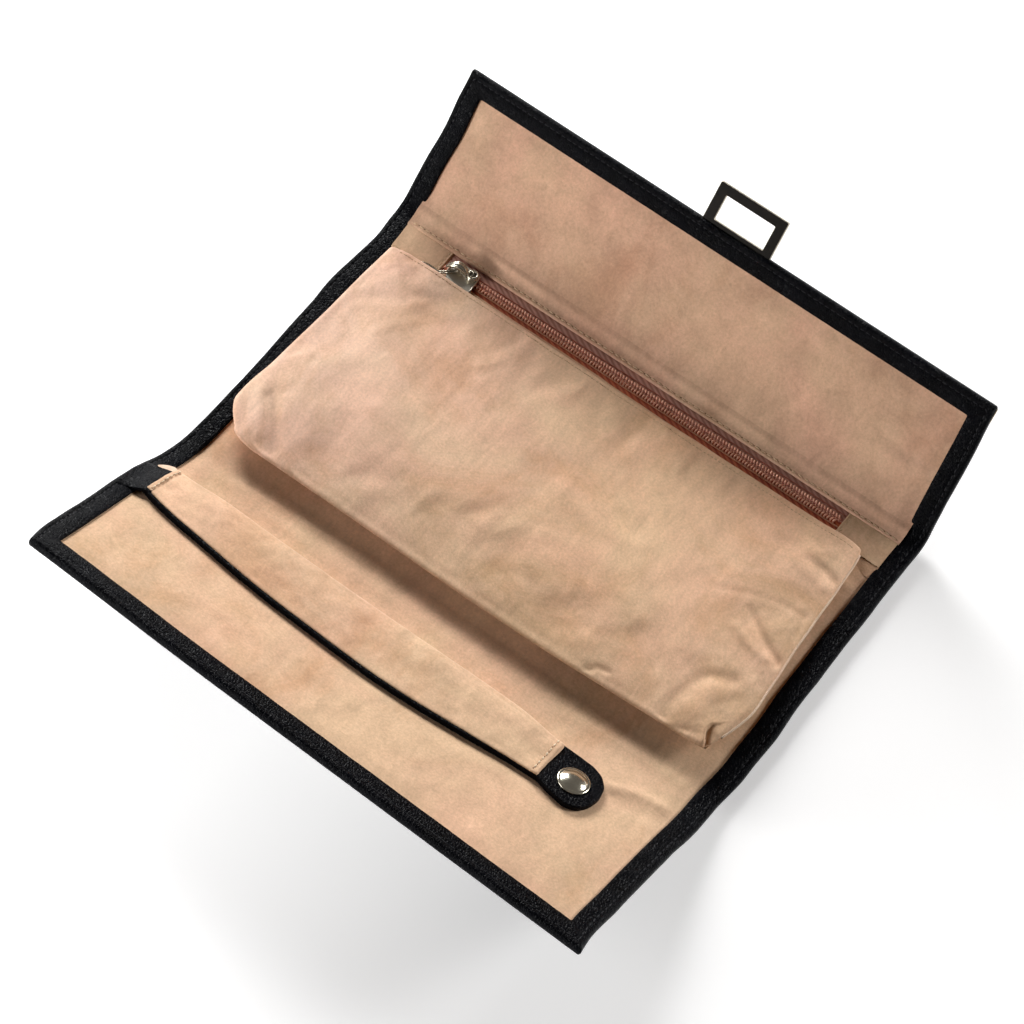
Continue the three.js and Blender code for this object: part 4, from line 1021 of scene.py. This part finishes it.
def bar_cushion():
    us = np.linspace(0, 1, 240)
    grid_u, grid_t = np.meshgrid(us, BAR_OVER)
    x, e = bar_spot(grid_u, grid_t)
    h = bar_height(x, grid_t)
    left, right = x - bar_end_x(e, True), bar_end_x(e, False) - x
    h = h + 0.25 * (smooth(3.2 - left, 0, 0.8) + smooth(3.6 - right, 0, 0.8))
    h = h - 0.35 * bump_at(left, 2.9, 0.4) - 0.35 * bump_at(right, 3.5, 0.4)
    near_end = np.clip(np.minimum(left, right), 0, 0.8) / 0.8
    h = h - 1.6 * dome_drop(near_end) * smooth(1 - grid_t, -0.2, 0.1)
    h = h - 0.45 * dome_drop(1 - np.clip((grid_t - 0.955) / 0.045, 0, 1))
    rows = list(place(x, flap_s(e), h))
    for t, height in BAR_UNDER:
        x, e = bar_spot(us, t)
        rows.append(place(x, flap_s(e), height))
    shape = Shape()
    shape.grid(np.stack(rows))
    shape.piece("bar_cushion", SUEDE, "suede", BAR_BEND, ["bar_suede", "bar_padding"], fill=0.5)
    for name, inset, pitch, body in (("left", 2.3, 2.3, BAR_BEND), ("right", -2.9, 2.75, "ring_bar")):
        t = np.linspace(0.06, 0.93, 40)
        e = bar_e(bar_end_x(15, name == "left") + inset, t)
        x = bar_end_x(e, name == "left") + inset
        h = bar_height(x, t) + 0.36
        line_stitches("stitches_bar_" + name, x, flap_s(e), h, THREAD_CREAM, body, pitch, 1.6, 0.62)


# Sections of the leather strip and of its tab: inwards from an edge or share of the outline, and height
STRIP_FAR_UP = [(0, 1.9), (0, 3.0), (0.4, 3.3), (3, 3.5)]
STRIP_NEAR = [
    (-4, 3.95), (-0.9, 4.1), (-0.4, 4.06), (-0.1, 3.85), (0.02, 3.4), (0.02, 2.3), (-0.15, 1.85),
    (-0.5, 1.6), (-4, 1.5),
]
STRIP_FAR_DOWN = [(3, 1.5), (0.4, 1.6), (0, 1.9)]
TAB_SECTION = [
    (0.9, 1.6), (0.98, 1.65), (1.0, 1.95), (1.005, 2.8), (1.0, 3.6), (0.988, 3.95), (0.965, 4.12),
    (0.92, 4.16), (0.885, 4.06), (0.85, 4.16), (0.7, 4.2), (0.45, 4.2), (0.2, 4.2), (0.01, 4.2),
]
TAB_OUTLINE = [
    (68, 6.9), (70.2, 6.8), (76, 6.9), (82.9, 7.2), (87.7, 9.1), (91.2, 13.2), (92.5, 19.1), (91.7, 25.1),
    (89.2, 29.7), (84.9, 32.0), (77.2, 30.8), (70.1, 28.9), (68, 28.6), (68, 6.9),
]


def bar_leather():
    leather = Shape()
    x = np.linspace(-113.4, 70.8, 150)
    far = bar_e(x, 0.0) + 0.5
    near = bar_e(x, 1.0) + 1.25 - 0.85 * smooth(x, 25, 68) + 0.1 * waves(x[:, None], 18, 84)
    sections = ((far, STRIP_FAR_UP), (near, STRIP_NEAR), (far, STRIP_FAR_DOWN))
    rows = [place(x, flap_s(edge + inward), h) for edge, section in sections for inward, h in section]
    leather.grid(np.stack(rows))
    closed = np.array(TAB_OUTLINE)
    length = np.concatenate([[0], np.cumsum(np.linalg.norm(np.diff(closed, axis=0), axis=1))])
    at = np.linspace(0, length[-1], 110, endpoint=False)
    outline = np.column_stack([np.interp(at, length, closed[:, i]) for i in range(2)])
    for _ in range(3):
        outline = (np.roll(outline, 1, 0) + 2 * outline + np.roll(outline, -1, 0)) / 4
    centre = np.array([80.5, 19.5])
    rings = []
    for scale, h in TAB_SECTION:
        ring = centre + (outline - centre) * scale
        soft = 0.07 * waves(ring, 7, 91) if h > 4 else 0
        rings.append(place(ring[:, 0], flap_s(ring[:, 1]), h + soft))
    rings = np.stack(rings)
    leather.grid(np.concatenate([rings, rings[:, :1]], axis=1))
    leather.piece("bar_leather", LEATHER, "leather", BAR_BEND, ["bar_back"])


def strap():
    """Black strap that joins the bar's left end to the border."""
    shape = Shape()
    t = np.linspace(0, 1, 16)
    x = -123.0 * (1 - t) + -111.0 * t
    near = 31.0 * (1 - t) ** 1.2 + 26.3 * (1 - (1 - t) ** 1.2)
    far = 8.9 * (1 - t) + 6.6 * t
    rows = []
    for v, edge in (
        (0.0, -1.2), (0.0, -0.2), (0.03, 0.2), (0.12, 0.35), (0.5, 0.4), (0.88, 0.4), (0.97, 0.2),
        (1.0, -0.2), (1.0, -1.2),
    ):
        h = 2.2 + 1.9 * smooth(t, 0.1, 0.9) + edge + 0.2 * np.sin(v * 9 + t * 5) * (0 < v < 1)
        rows.append(place(x, flap_s(far * (1 - v) + near * v), h))
    shape.grid(np.stack(rows))
    shape.piece("strap", LEATHER, "leather", BAR_BEND, ["bar_strap"])


def bar_end_fold():
    """The light corner of suede that shows beside the strap."""
    fold = Shape()
    line = np.array([
        (-119.6, 8.2), (-118.7, 6.0), (-117.4, 4.2), (-115.6, 3.0), (-113.8, 3.4), (-112.4, 4.6),
    ])
    base = np.array([
        (-119.1, 9.4), (-117.8, 9.0), (-116.6, 8.6), (-115.2, 8.2), (-113.8, 8.0), (-112.4, 8.0),
    ])
    rows = []
    for share, h in (
        (1.0, 2.0), (0.3, 2.2), (0.0, 2.5), (-0.03, 2.8), (0.0, 3.1), (0.1, 3.25), (0.5, 3.35), (1.0, 3.4),
    ):
        spot = line * (1 - share) + base * share
        rows.append(place(spot[:, 0], flap_s(spot[:, 1]), h))
    fold.grid(np.stack(rows))
    fold.piece("bar_end_fold", SUEDE_LIGHT, "suede", BAR_BEND)


def snap_cap():
    shape = Shape()
    x, e, base = 81.2, 20.3, 4.4
    profile = [
        (6.2, -0.6), (6.5, -0.1), (6.55, 0.2), (6.45, 0.5), (6.1, 0.68), (5.7, 0.7), (5.45, 0.66),
        (5.2, 0.74), (4.7, 1.06), (4.0, 1.42), (3.2, 1.72), (2.4, 1.93), (1.6, 2.08), (0.8, 2.16),
        (0.01, 2.18),
    ]
    angles = np.linspace(0, 2 * math.pi, 72)
    rows = [place(x + r * np.cos(angles), flap_s(e + r * np.sin(angles)), base + h) for r, h in profile]
    shape.grid(np.stack(rows))
    shape.piece("snap_dome", NICKEL_MIRROR, "metal", "ring_bar", ["snap_cap"])


bar_cushion()
bar_leather()
strap()
bar_end_fold()
snap_cap()


# Clasp frame, black on its faces with bare metal edges: the black face is painted, standing in for the dark
# reflection of polished metal

def rounded_outline(x0, x1, y0, y1, r):
    """A closed rectangle with rounded corners."""
    points = []
    corners = ((x1 - r, y1 - r, 0), (x0 + r, y1 - r, 90), (x0 + r, y0 + r, 180), (x1 - r, y0 + r, 270))
    for cx, cy, start in corners:
        for degrees in np.linspace(0, 90, 5):
            turn = math.radians(start + degrees)
            points.append((cx + r * math.cos(turn), cy + r * math.sin(turn)))
    return np.array(points + points[:1])


def clasp():
    outer = rounded_outline(-13.3, 18.4, 62.5, 81.5, 0.7)
    inner = rounded_outline(-8.7, 14.0, 66.5, 77.4, 0.5)
    top, bottom = 0.75, -1.15

    def row(line, grow, height):
        moved = line + unit(line - (2.5, 72.0)) * grow
        return place(moved[:, 0], BACK_OUTER + moved[:, 1], height)

    def side(line, chamfer, soft, foot):
        levels = ((chamfer, top), (soft, top - 0.06), (0, top - 0.3), (0, bottom + 0.3), (foot, bottom))
        return np.stack([row(line, grow, height) for grow, height in levels])

    edges, face = Shape(), Shape()
    edges.grid(side(outer, -0.35, -0.1, -0.2), flip=True)
    edges.grid(side(inner, 0.3, 0.08, 0.2))
    edges.grid(np.stack([row(outer, -0.2, bottom), row(inner, 0.2, bottom)]), flip=True)
    edges.piece("clasp_edges", NICKEL, "metal", "back_flap", ["clasp_frame"])
    # The face is painted black, standing in for the dark reflection of the polished metal.
    face.grid(np.stack([row(outer, -0.3, top + 0.02), row(inner, 0.28, top + 0.02)]))
    face.piece("clasp_face", PAINTED_REFLECTION_BLACK, "metal", "back_flap")


clasp()


# Pouch

POUCH_LEFT = [
    (57.7, -115.4), (41.7, -115.9), (15.8, -116.0), (-3.5, -116.6), (-16.7, -117.0), (-26.8, -118.1),
    (-33.2, -118.3), (-38.3, -117.8), (-42.9, -115.2), (-47.8, -110.8), (-51.7, -106.7), (-53.0, -103.0),
]
POUCH_RIGHT = [
    (61.6, 108.7), (55.3, 109.9), (44, 110.8), (36, 111.5), (25, 112.0), (17, 112.6), (6, 113.2),
    (-7, 114.4), (-19, 115.3), (-29.4, 115.8), (-36.8, 114.6), (-44.5, 112.6), (-50, 111.0),
]
POUCH_BACK = [
    (-118, 57.5), (-112.5, 59.3), (-110, 59.8), (-99.6, 60.2), (-78, 60.4), (-34, 60.6), (23.6, 61.0),
    (57, 61.8), (90, 62.3), (103, 62.8), (107, 62.2), (112, 60.6),
]
POUCH_FRONT = [
    (-118, -53.0), (-88, -52.4), (-64, -52.3), (46.8, -51.6), (69, -50.5), (91, -49.4), (111.7, -48.3),
    (116, -48.0),
]
POUCH_SPLIT = 0.085
POUCH_REAR_Y = 60.5
POUCH_REACH = 113.5
POUCH_DEPTH = 112
POUCH_WIDTH = 228


def pouch_outline(u, v):
    """World x and y for u from left, 0, to right, 1, and v from the back, 0, to the front, 1."""
    left_x = curve([(-y, x) for y, x in POUCH_LEFT], v * POUCH_REACH - POUCH_REAR_Y)
    right_x = curve([(-y, x) for y, x in POUCH_RIGHT], v * POUCH_REACH - POUCH_REAR_Y)
    round_left = 6.0 * (1 - np.sqrt(np.clip(1 - np.clip((v - 0.97) / 0.03, 0, 1) ** 2, 0, 1)))
    round_right = 4.0 * (1 - np.sqrt(np.clip(1 - np.clip((v - 0.965) / 0.035, 0, 1) ** 2, 0, 1)))
    round_back = 1.2 * (1 - np.sqrt(np.clip(1 - np.clip((0.012 - v) / 0.012, 0, 1) ** 2, 0, 1)))
    left_x = left_x + round_left + round_back
    right_x = right_x - round_right - round_back
    x = left_x * (1 - u) + right_x * u
    y = curve(POUCH_BACK, x) * (1 - v) + curve(POUCH_FRONT, x) * v
    return x, y


def settle(x, y, top, bottom, excess, pressure, cap):
    """Cloth simulation of two layers sewn at their edge: how far each point of either layer rises."""
    rows, columns = x.shape
    scale = 0.01
    upper = np.arange(rows * columns).reshape(rows, columns)
    lower = upper.copy()
    inner = np.zeros(x.shape, bool)
    inner[1:-1, 1:-1] = True
    lower[inner] = rows * columns + np.arange(inner.sum())
    points = np.stack([x, y, np.where(inner, top, (top + bottom) / 2)], -1).reshape(-1, 3)
    points = np.concatenate([points, np.stack([x, y, bottom], -1)[inner]])
    faces = []
    for index, flip in ((upper, True), (lower, False)):
        for i in range(rows - 1):
            for j in range(columns - 1):
                corners = ((i, j), (i, j + 1), (i + 1, j + 1), (i + 1, j))
                quad = [int(index[corner]) for corner in corners]
                faces.append(quad[::-1] if flip else quad)
    trial = add_mesh("trial_cloth", points * scale, faces, SUEDE)
    pins = trial.vertex_groups.new(name="sewn_edge")
    pins.add([int(i) for i in upper[~inner]], 1.0, "REPLACE")
    cloth = trial.modifiers.new("cloth", "CLOTH")
    cloth.settings.quality = 6
    cloth.settings.vertex_group_mass = "sewn_edge"
    cloth.settings.use_pressure = True
    cloth.settings.uniform_pressure_force = pressure
    cloth.settings.shrink_min = -excess
    cloth.settings.bending_stiffness = 0.3
    cloth.settings.effector_weights.gravity = 0
    cloth.collision_settings.use_collision = False
    scene = bpy.context.scene
    for step in range(1, 21):
        scene.frame_set(step)
    settled = trial.evaluated_get(bpy.context.evaluated_depsgraph_get()).to_mesh()
    moved = np.empty(len(points) * 3)
    settled.vertices.foreach_get("co", moved)
    rise = moved.reshape(-1, 3)[:, 2] / scale - points[:, 2]
    scene.frame_set(1)
    trial.to_mesh_clear()
    bpy.data.objects.remove(trial)
    rise = np.where(rise > 0, cap * np.tanh(rise / cap), 0.3 * cap * np.tanh(rise / (0.3 * cap)))
    return [rise[upper], rise[lower]]


def resample(field, u, v):
    """Smoothly reads a coarse grid of values at u and v from 0 to 1."""
    def weights(at, count):
        place_in = np.clip(at, 0, 1) * (count - 1)
        first = np.clip(np.floor(place_in).astype(int), 0, count - 2)
        t = place_in - first
        return first, (
            (-t**3 + 2 * t**2 - t) / 2, (3 * t**3 - 5 * t**2 + 2) / 2, (-3 * t**3 + 4 * t**2 + t) / 2,
            (t**3 - t**2) / 2,
        )

    rows, columns = field.shape
    i, row_weights = weights(v, rows)
    j, column_weights = weights(u, columns)
    total = 0.0
    for a in range(4):
        for b in range(4):
            value = field[np.clip(i + a - 1, 0, rows - 1), np.clip(j + b - 1, 0, columns - 1)]
            total = total + row_weights[a] * column_weights[b] * value
    return total


POUCH_CREASES = [
    ([(-107, -30), (-99, -38), (-92, -47)], 3.4, -1.2),
    ([(-113, -26), (-107, -36), (-101, -45)], 3.0, 0.5),
    ([(-94, 20), (-90, 27), (-85, 34)], 2.6, 0.4),
    ([(-53, 32), (-48, 40)], 2.0, 0.3),
    ([(91, -49), (89, -42), (90, -36), (92, -29), (95, -23), (103, -19)], 2.8, -0.75),
    ([(98, -37), (100, -28)], 6.5, 0.7),
    ([(113, -2), (104, 2), (97, 6), (91, 10)], 1.9, -0.8),
    ([(107, -4), (99, -3), (91, 0)], 2.3, 0.7),
    ([(110, 42), (103, 44), (96, 44)], 2.0, -0.7),
    ([(109, 37), (102, 38), (94, 39)], 2.2, 0.4),
    ([(77, 10), (90, 17), (99, 21), (109, 22)], 1.6, -0.35),
    ([(97, -49), (101, -46.5), (105, -45)], 1.6, -0.35),
    ([(101, -50), (104, -48.5), (107, -47.5)], 1.2, -0.3),
    ([(56, -52), (59, -46), (64, -45)], 1.4, -0.5),
    ([(-30, 44), (-10, 30), (6, 8), (10, -14)], 6.0, 0.55),
    ([(6, 8), (24, 2), (44, 6)], 4.0, 0.4),
    ([(40, -46), (52, -38), (60, -22)], 4.0, 0.4),
    ([(-60, -46), (-40, -30), (-10, -26)], 5.0, 0.4),
    ([(20, 56), (40, 46), (70, 44), (92, 50)], 3.6, 0.4),
]
PLEAT = [(111.4, -48.6), (109.4, -46.6), (107.6, -44.2), (106.4, -41.6), (106.8, -39.0), (108.4, -37.2)]


def pleat(x, y):
    """A small fold at the front right corner: one side stands up, the other drops away."""
    total = np.zeros(np.broadcast(x, y).shape)
    best = np.full(total.shape, 1e9)
    for i, ((x0, y0), (x1, y1)) in enumerate(zip(PLEAT[:-1], PLEAT[1:])):
        dx, dy = x1 - x0, y1 - y0
        length = math.hypot(dx, dy)
        t = np.clip(((x - x0) * dx + (y - y0) * dy) / length**2, 0, 1)
        gap = np.hypot(x - x0 - t * dx, y - y0 - t * dy)
        side = ((x - x0) * dy - (y - y0) * dx) / length
        fade = 1 - smooth(i + t, 2.4, 5.0) * 0.85
        value = np.where(side < 0, 1.5 * np.exp(-gap / 2.4), -2.2 * np.exp(-gap / 1.8))
        value = value * fade * np.tanh(gap / 0.3)
        total = np.where(gap < best, value, total)
        best = np.minimum(best, gap)
    return total


def pouch_heights(x, y, u, v):
    """Top and bottom of the pouch, in world millimetres."""
    back_gap = v * POUCH_DEPTH
    front_gap = (1 - v) * POUCH_DEPTH
    side_gap = np.minimum(u, 1 - u) * POUCH_WIDTH
    gap = np.minimum(np.minimum(back_gap, front_gap), side_gap)
    seam = 6.1 + 4.5 * smooth(v, 0.0, 1.0) + 1.1 * np.sin(math.pi * np.clip(v, 0, 1))
    seam = seam + 0.6 * bump_at(x, -96, 8) * bump_at(v, 0, 0.12)
    roll = np.sqrt(np.clip(1 - (1 - np.clip(gap / 2.2, 0, 1)) ** 2, 0, 1))
    belly = 1 - np.exp(-gap / 16)
    top = seam + 0.8 * roll + 2.0 * belly
    for path, width, lift in POUCH_CREASES:
        top = top + crease(x, y, path, width, lift) * smooth(gap, 0.3, 2.5)
    spot = np.stack([x, y], -1)
    top = top + (0.34 * waves(spot, 44, 101) + 0.13 * waves(spot, 15, 102)) * smooth(gap, 0, 6)
    top = top + pleat(x, y) * smooth(gap, -0.4, 1.6)
    top = top - 0.14 * bump_at(back_gap, 2.4, 0.8)
    top = top - 2.0 * np.exp(-((x - 109.9) ** 2 + (y + 47.0) ** 2) / 1.3)
    bottom = seam - 0.5 * roll - 0.9 * belly + 0.2 * waves(spot, 40, 103) * smooth(gap, 0, 6)
    return top, bottom


def pouch_surfaces(x, y, u, v):
    """The modelled heights with what the cloth simulation adds."""
    top, bottom = pouch_heights(x, y, u, v)
    return top + resample(POUCH_RISE[0], u, v), bottom + np.maximum(resample(POUCH_RISE[1], u, v), -0.4)


trial_u, trial_v = np.meshgrid(np.linspace(0, 1, 84), np.linspace(0, 1, 42))
trial_x, trial_y = pouch_outline(trial_u, trial_v)
trial_heights = pouch_heights(trial_x, trial_y, trial_u, trial_v)
POUCH_RISE = settle(trial_x, trial_y, *trial_heights, excess=0.006, pressure=0.5, cap=1.3)


# Where the bag turns from the centre to the pouch's body, ahead of its mouth: the two bodies and two points
BAG_BEND = ("centre", "pouch", (0, 52 * MM, 5.4 * MM), (0, 42 * MM, 5.4 * MM))


def pouch():
    spread = 0.5 - 0.5 * np.cos(np.linspace(0, math.pi, 230))
    spread = 0.25 * spread + 0.75 * np.linspace(0, 1, 230)
    quarter = np.linspace(0, math.pi / 2, 10)
    us = np.concatenate([
        spread[spread < 0.93], np.linspace(0.93, 0.99, 34)[:-1], 0.99 + 0.01 * np.sin(quarter),
    ])
    vs_back = np.concatenate([np.linspace(0, 0.02, 7), np.linspace(0.03, POUCH_SPLIT, 8)])
    main = np.concatenate([np.linspace(POUCH_SPLIT, 0.84, 84)[:-1], np.linspace(0.84, 0.93, 20)])
    vs_front = np.concatenate([main, 0.93 + 0.07 * np.sin(np.linspace(0, math.pi / 2, 22))[1:]])
    for name, vs, nodes, body in (
        ("pouch_mouth", vs_back, [], BACK_INNER_FOLD),
        ("pouch_bag", vs_front, ["pouch_front", "pouch_back"], BAG_BEND),
    ):
        u, v = np.meshgrid(us, vs)
        x, y = pouch_outline(u, v)
        top, bottom = pouch_surfaces(x, y, u, v)
        shape = Shape()
        shape.grid(np.stack([x, y, top], -1) * MM, flip=True)
        shape.grid(np.stack([x, y, bottom], -1) * MM)
        shape.piece(name, SUEDE_POUCH, "suede", body, nodes, fill=0.3)


def pouch_stitches():
    """Small stitches along the pouch's rear edge, with painted shade in their dips."""
    u = np.linspace(0.02, 0.985, 500)
    v = (2.0 + 0.8 * smooth(u, 0.3, 1.0) + 0.25 * waves(u[:, None] * 200, 22, 111)) / POUCH_DEPTH
    x, y = pouch_outline(u, v)
    top, _ = pouch_surfaces(x, y, u, v)
    points = np.stack([x, y, top + 0.02], -1) * MM
    shape, dark = Shape(), Shape()
    stitch_line(shape, points, np.broadcast_to((0.0, 0.2, 0.98), points.shape), 1.7, (1.1, 0.42, 0.34), dark)
    shape.piece("stitches_pouch", THREAD_TAN, "suede", BACK_INNER_FOLD)
    dark.piece("holes_pouch", DIP_SHADE, "suede", BACK_INNER_FOLD)


def pouch_piping():
    """Pale edge along the pouch's right side, its lighter suede a painted highlight along the lit edge."""
    v = np.linspace(0.02, 0.93, 150)
    u = np.ones_like(v)
    x, y = pouch_outline(u, v)
    top, bottom = pouch_surfaces(x, y, u, v)
    shape = Shape()
    tube(shape, np.stack([x + 0.1, y, (top + bottom) / 2], -1) * MM, 0.5 * MM, 8)
    shape.piece("pouch_piping", SUEDE_LIGHT, "suede", BAG_BEND)


pouch()
pouch_stitches()
pouch_piping()

# Solids that stay, with their finish
FINISHES = {
    "centre_board": BOARD, "back_board": BOARD, "front_spine_padding": PADDING,
    "snap_stud": NICKEL, "snap_post": NICKEL, "snap_socket": NICKEL,
    "lock_base": NICKEL, "lock_backing": NICKEL, "lock_knob": NICKEL,
}
for node_name, finish in FINISHES.items():
    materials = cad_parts[node_name].data.materials
    materials.clear()
    materials.append(finish)


# Camera at the photograph's angle

def look_from(azimuth, elevation):
    """Unit vector towards a viewer, whose azimuth is turned from the front to the right."""
    flat = math.cos(elevation)
    return Vector((flat * math.sin(azimuth), -flat * math.cos(azimuth), math.sin(elevation)))


TARGET = Vector((-6.77, -7.87, 3.2)) * MM
DISTANCE = 1403.5 * MM
AZIMUTH = math.radians(27.83)
ROLL = math.radians(9.64)
BACK = look_from(AZIMUTH, math.radians(60))
level = Vector((math.cos(AZIMUTH), math.sin(AZIMUTH), 0))
upright = BACK.cross(level)
right = math.cos(ROLL) * level + math.sin(ROLL) * upright
up = -math.sin(ROLL) * level + math.cos(ROLL) * upright
camera_data = bpy.data.cameras.new("camera")
camera_data.lens = 128.7
camera_data.sensor_width = 36.0
camera = bpy.data.objects.new("camera", camera_data)
bpy.context.scene.collection.objects.link(camera)
camera_turn = Matrix((right, up, BACK)).transposed().to_4x4()
camera.matrix_world = Matrix.Translation(TARGET + BACK * DISTANCE) @ camera_turn
bpy.context.scene.camera = camera


# Floor, world and lamps

def fading(graph, value, near, far):
    """A strength that runs from one level to another: near and far are a place and the level there."""
    inputs = {"Value": value, "From Min": near[0], "To Min": near[1], "From Max": far[0], "To Max": far[1]}
    return graph.add("MapRange", inputs).outputs["Result"]


def floor_strength(graph):
    """White of the floor, with a painted shadow: less on the side where the shadow falls, more far away, where
    the lamps end.
    """
    spot = graph.add("NewGeometry").outputs["Position"]
    side = graph.add("SeparateXYZ", {"Vector": spot}).outputs["X"]
    away = graph.add("VectorMath", {0: spot}, operation="LENGTH").outputs["Value"]
    # Painted shadow: the floor's white drops from 0.68 on the left to 0.30 on the right.
    near_level = fading(graph, side, (-0.03, 0.68), (0.11, 0.30))
    far_level = fading(graph, away, (0.35, 0.0), (1.6, 0.95))
    return graph.add("Math", {0: near_level, 1: far_level}, operation="MAXIMUM").outputs[0]


def white_to_camera(graph, shader_output, to_camera, to_metal):
    """Adds white that only the camera and reflections see."""
    path = graph.add("LightPath").outputs
    seen = {}
    for k, (ray, strength) in enumerate((("Is Camera Ray", to_camera), ("Is Glossy Ray", to_metal))):
        seen[k] = graph.add("Math", {0: path[ray], 1: strength}, operation="MULTIPLY").outputs[0]
    either = graph.add("Math", seen, operation="MAXIMUM").outputs[0]
    glow = graph.add("Emission", {"Color": (1, 1, 1), "Strength": either}).outputs[0]
    return graph.add("AddShader", {0: shader_output, 1: glow}).outputs[0]


floor_graph = Graph(bpy.data.materials.new("floor_white"))
floor_material = floor_graph.finish({"Base Color": (0.9, 0.9, 0.9), "Roughness": 0.9}, ())
floor_white = white_to_camera(
    floor_graph, floor_graph.nodes["Principled BSDF"].outputs["BSDF"], floor_strength(floor_graph), 0.5
)
floor_graph.put(floor_graph.nodes["Material Output"].inputs["Surface"], floor_white)
floor_corners = [(x, y, -0.0005) for x, y in ((-3, -3), (3, -3), (3, 3), (-3, 3))]
floor = add_mesh("floor", floor_corners, [(0, 1, 2, 3)], floor_material)

SKY = [(0.0, (0.10, 0.066, 0.042)), (0.15, (0.03, 0.017, 0.010)), (1.0, (0.02, 0.011, 0.006))]
world_graph = Graph(bpy.data.worlds.new("world"))
bpy.context.scene.world = world_graph.owner
sky_way = world_graph.add("TexCoord").outputs["Generated"]
sky_height = world_graph.add("SeparateXYZ", {"Vector": sky_way}).outputs["Z"]
background = world_graph.nodes["Background"]
world_graph.put(background.inputs["Color"], world_graph.ramp(sky_height, *SKY))
world_graph.put(background.inputs["Strength"], 1.0)
world_white = white_to_camera(world_graph, background.outputs[0], 1.0, 0.1)
world_graph.put(world_graph.nodes["World Output"].inputs["Surface"], world_white)


LAMP_DISTANCE = 1.4


def area_lamp(name, azimuth, elevation, width, height, power):
    """A soft lamp that looks at the roll's middle, its azimuth in degrees from the right towards the back."""
    lamp = bpy.data.lights.new(name, "AREA")
    lamp.shape = "RECTANGLE"
    lamp.size = width
    lamp.size_y = height
    lamp.energy = power
    obj = bpy.data.objects.new(name, lamp)
    bpy.context.scene.collection.objects.link(obj)
    obj.location = look_from(math.radians(azimuth + 90), math.radians(elevation)) * LAMP_DISTANCE
    obj.rotation_euler = (-obj.location).to_track_quat("-Z", "Y").to_euler()


area_lamp("key_back_left", 138, 23, 0.6, 0.5, 24)
area_lamp("key_back_right", 46, 20, 0.5, 0.4, 14)
area_lamp("fill_low", 238, 10, 0.7, 0.22, 14)
area_lamp("fill_high", 220, 28, 0.8, 0.6, 6)

bpy.context.scene.view_settings.view_transform = "Standard"
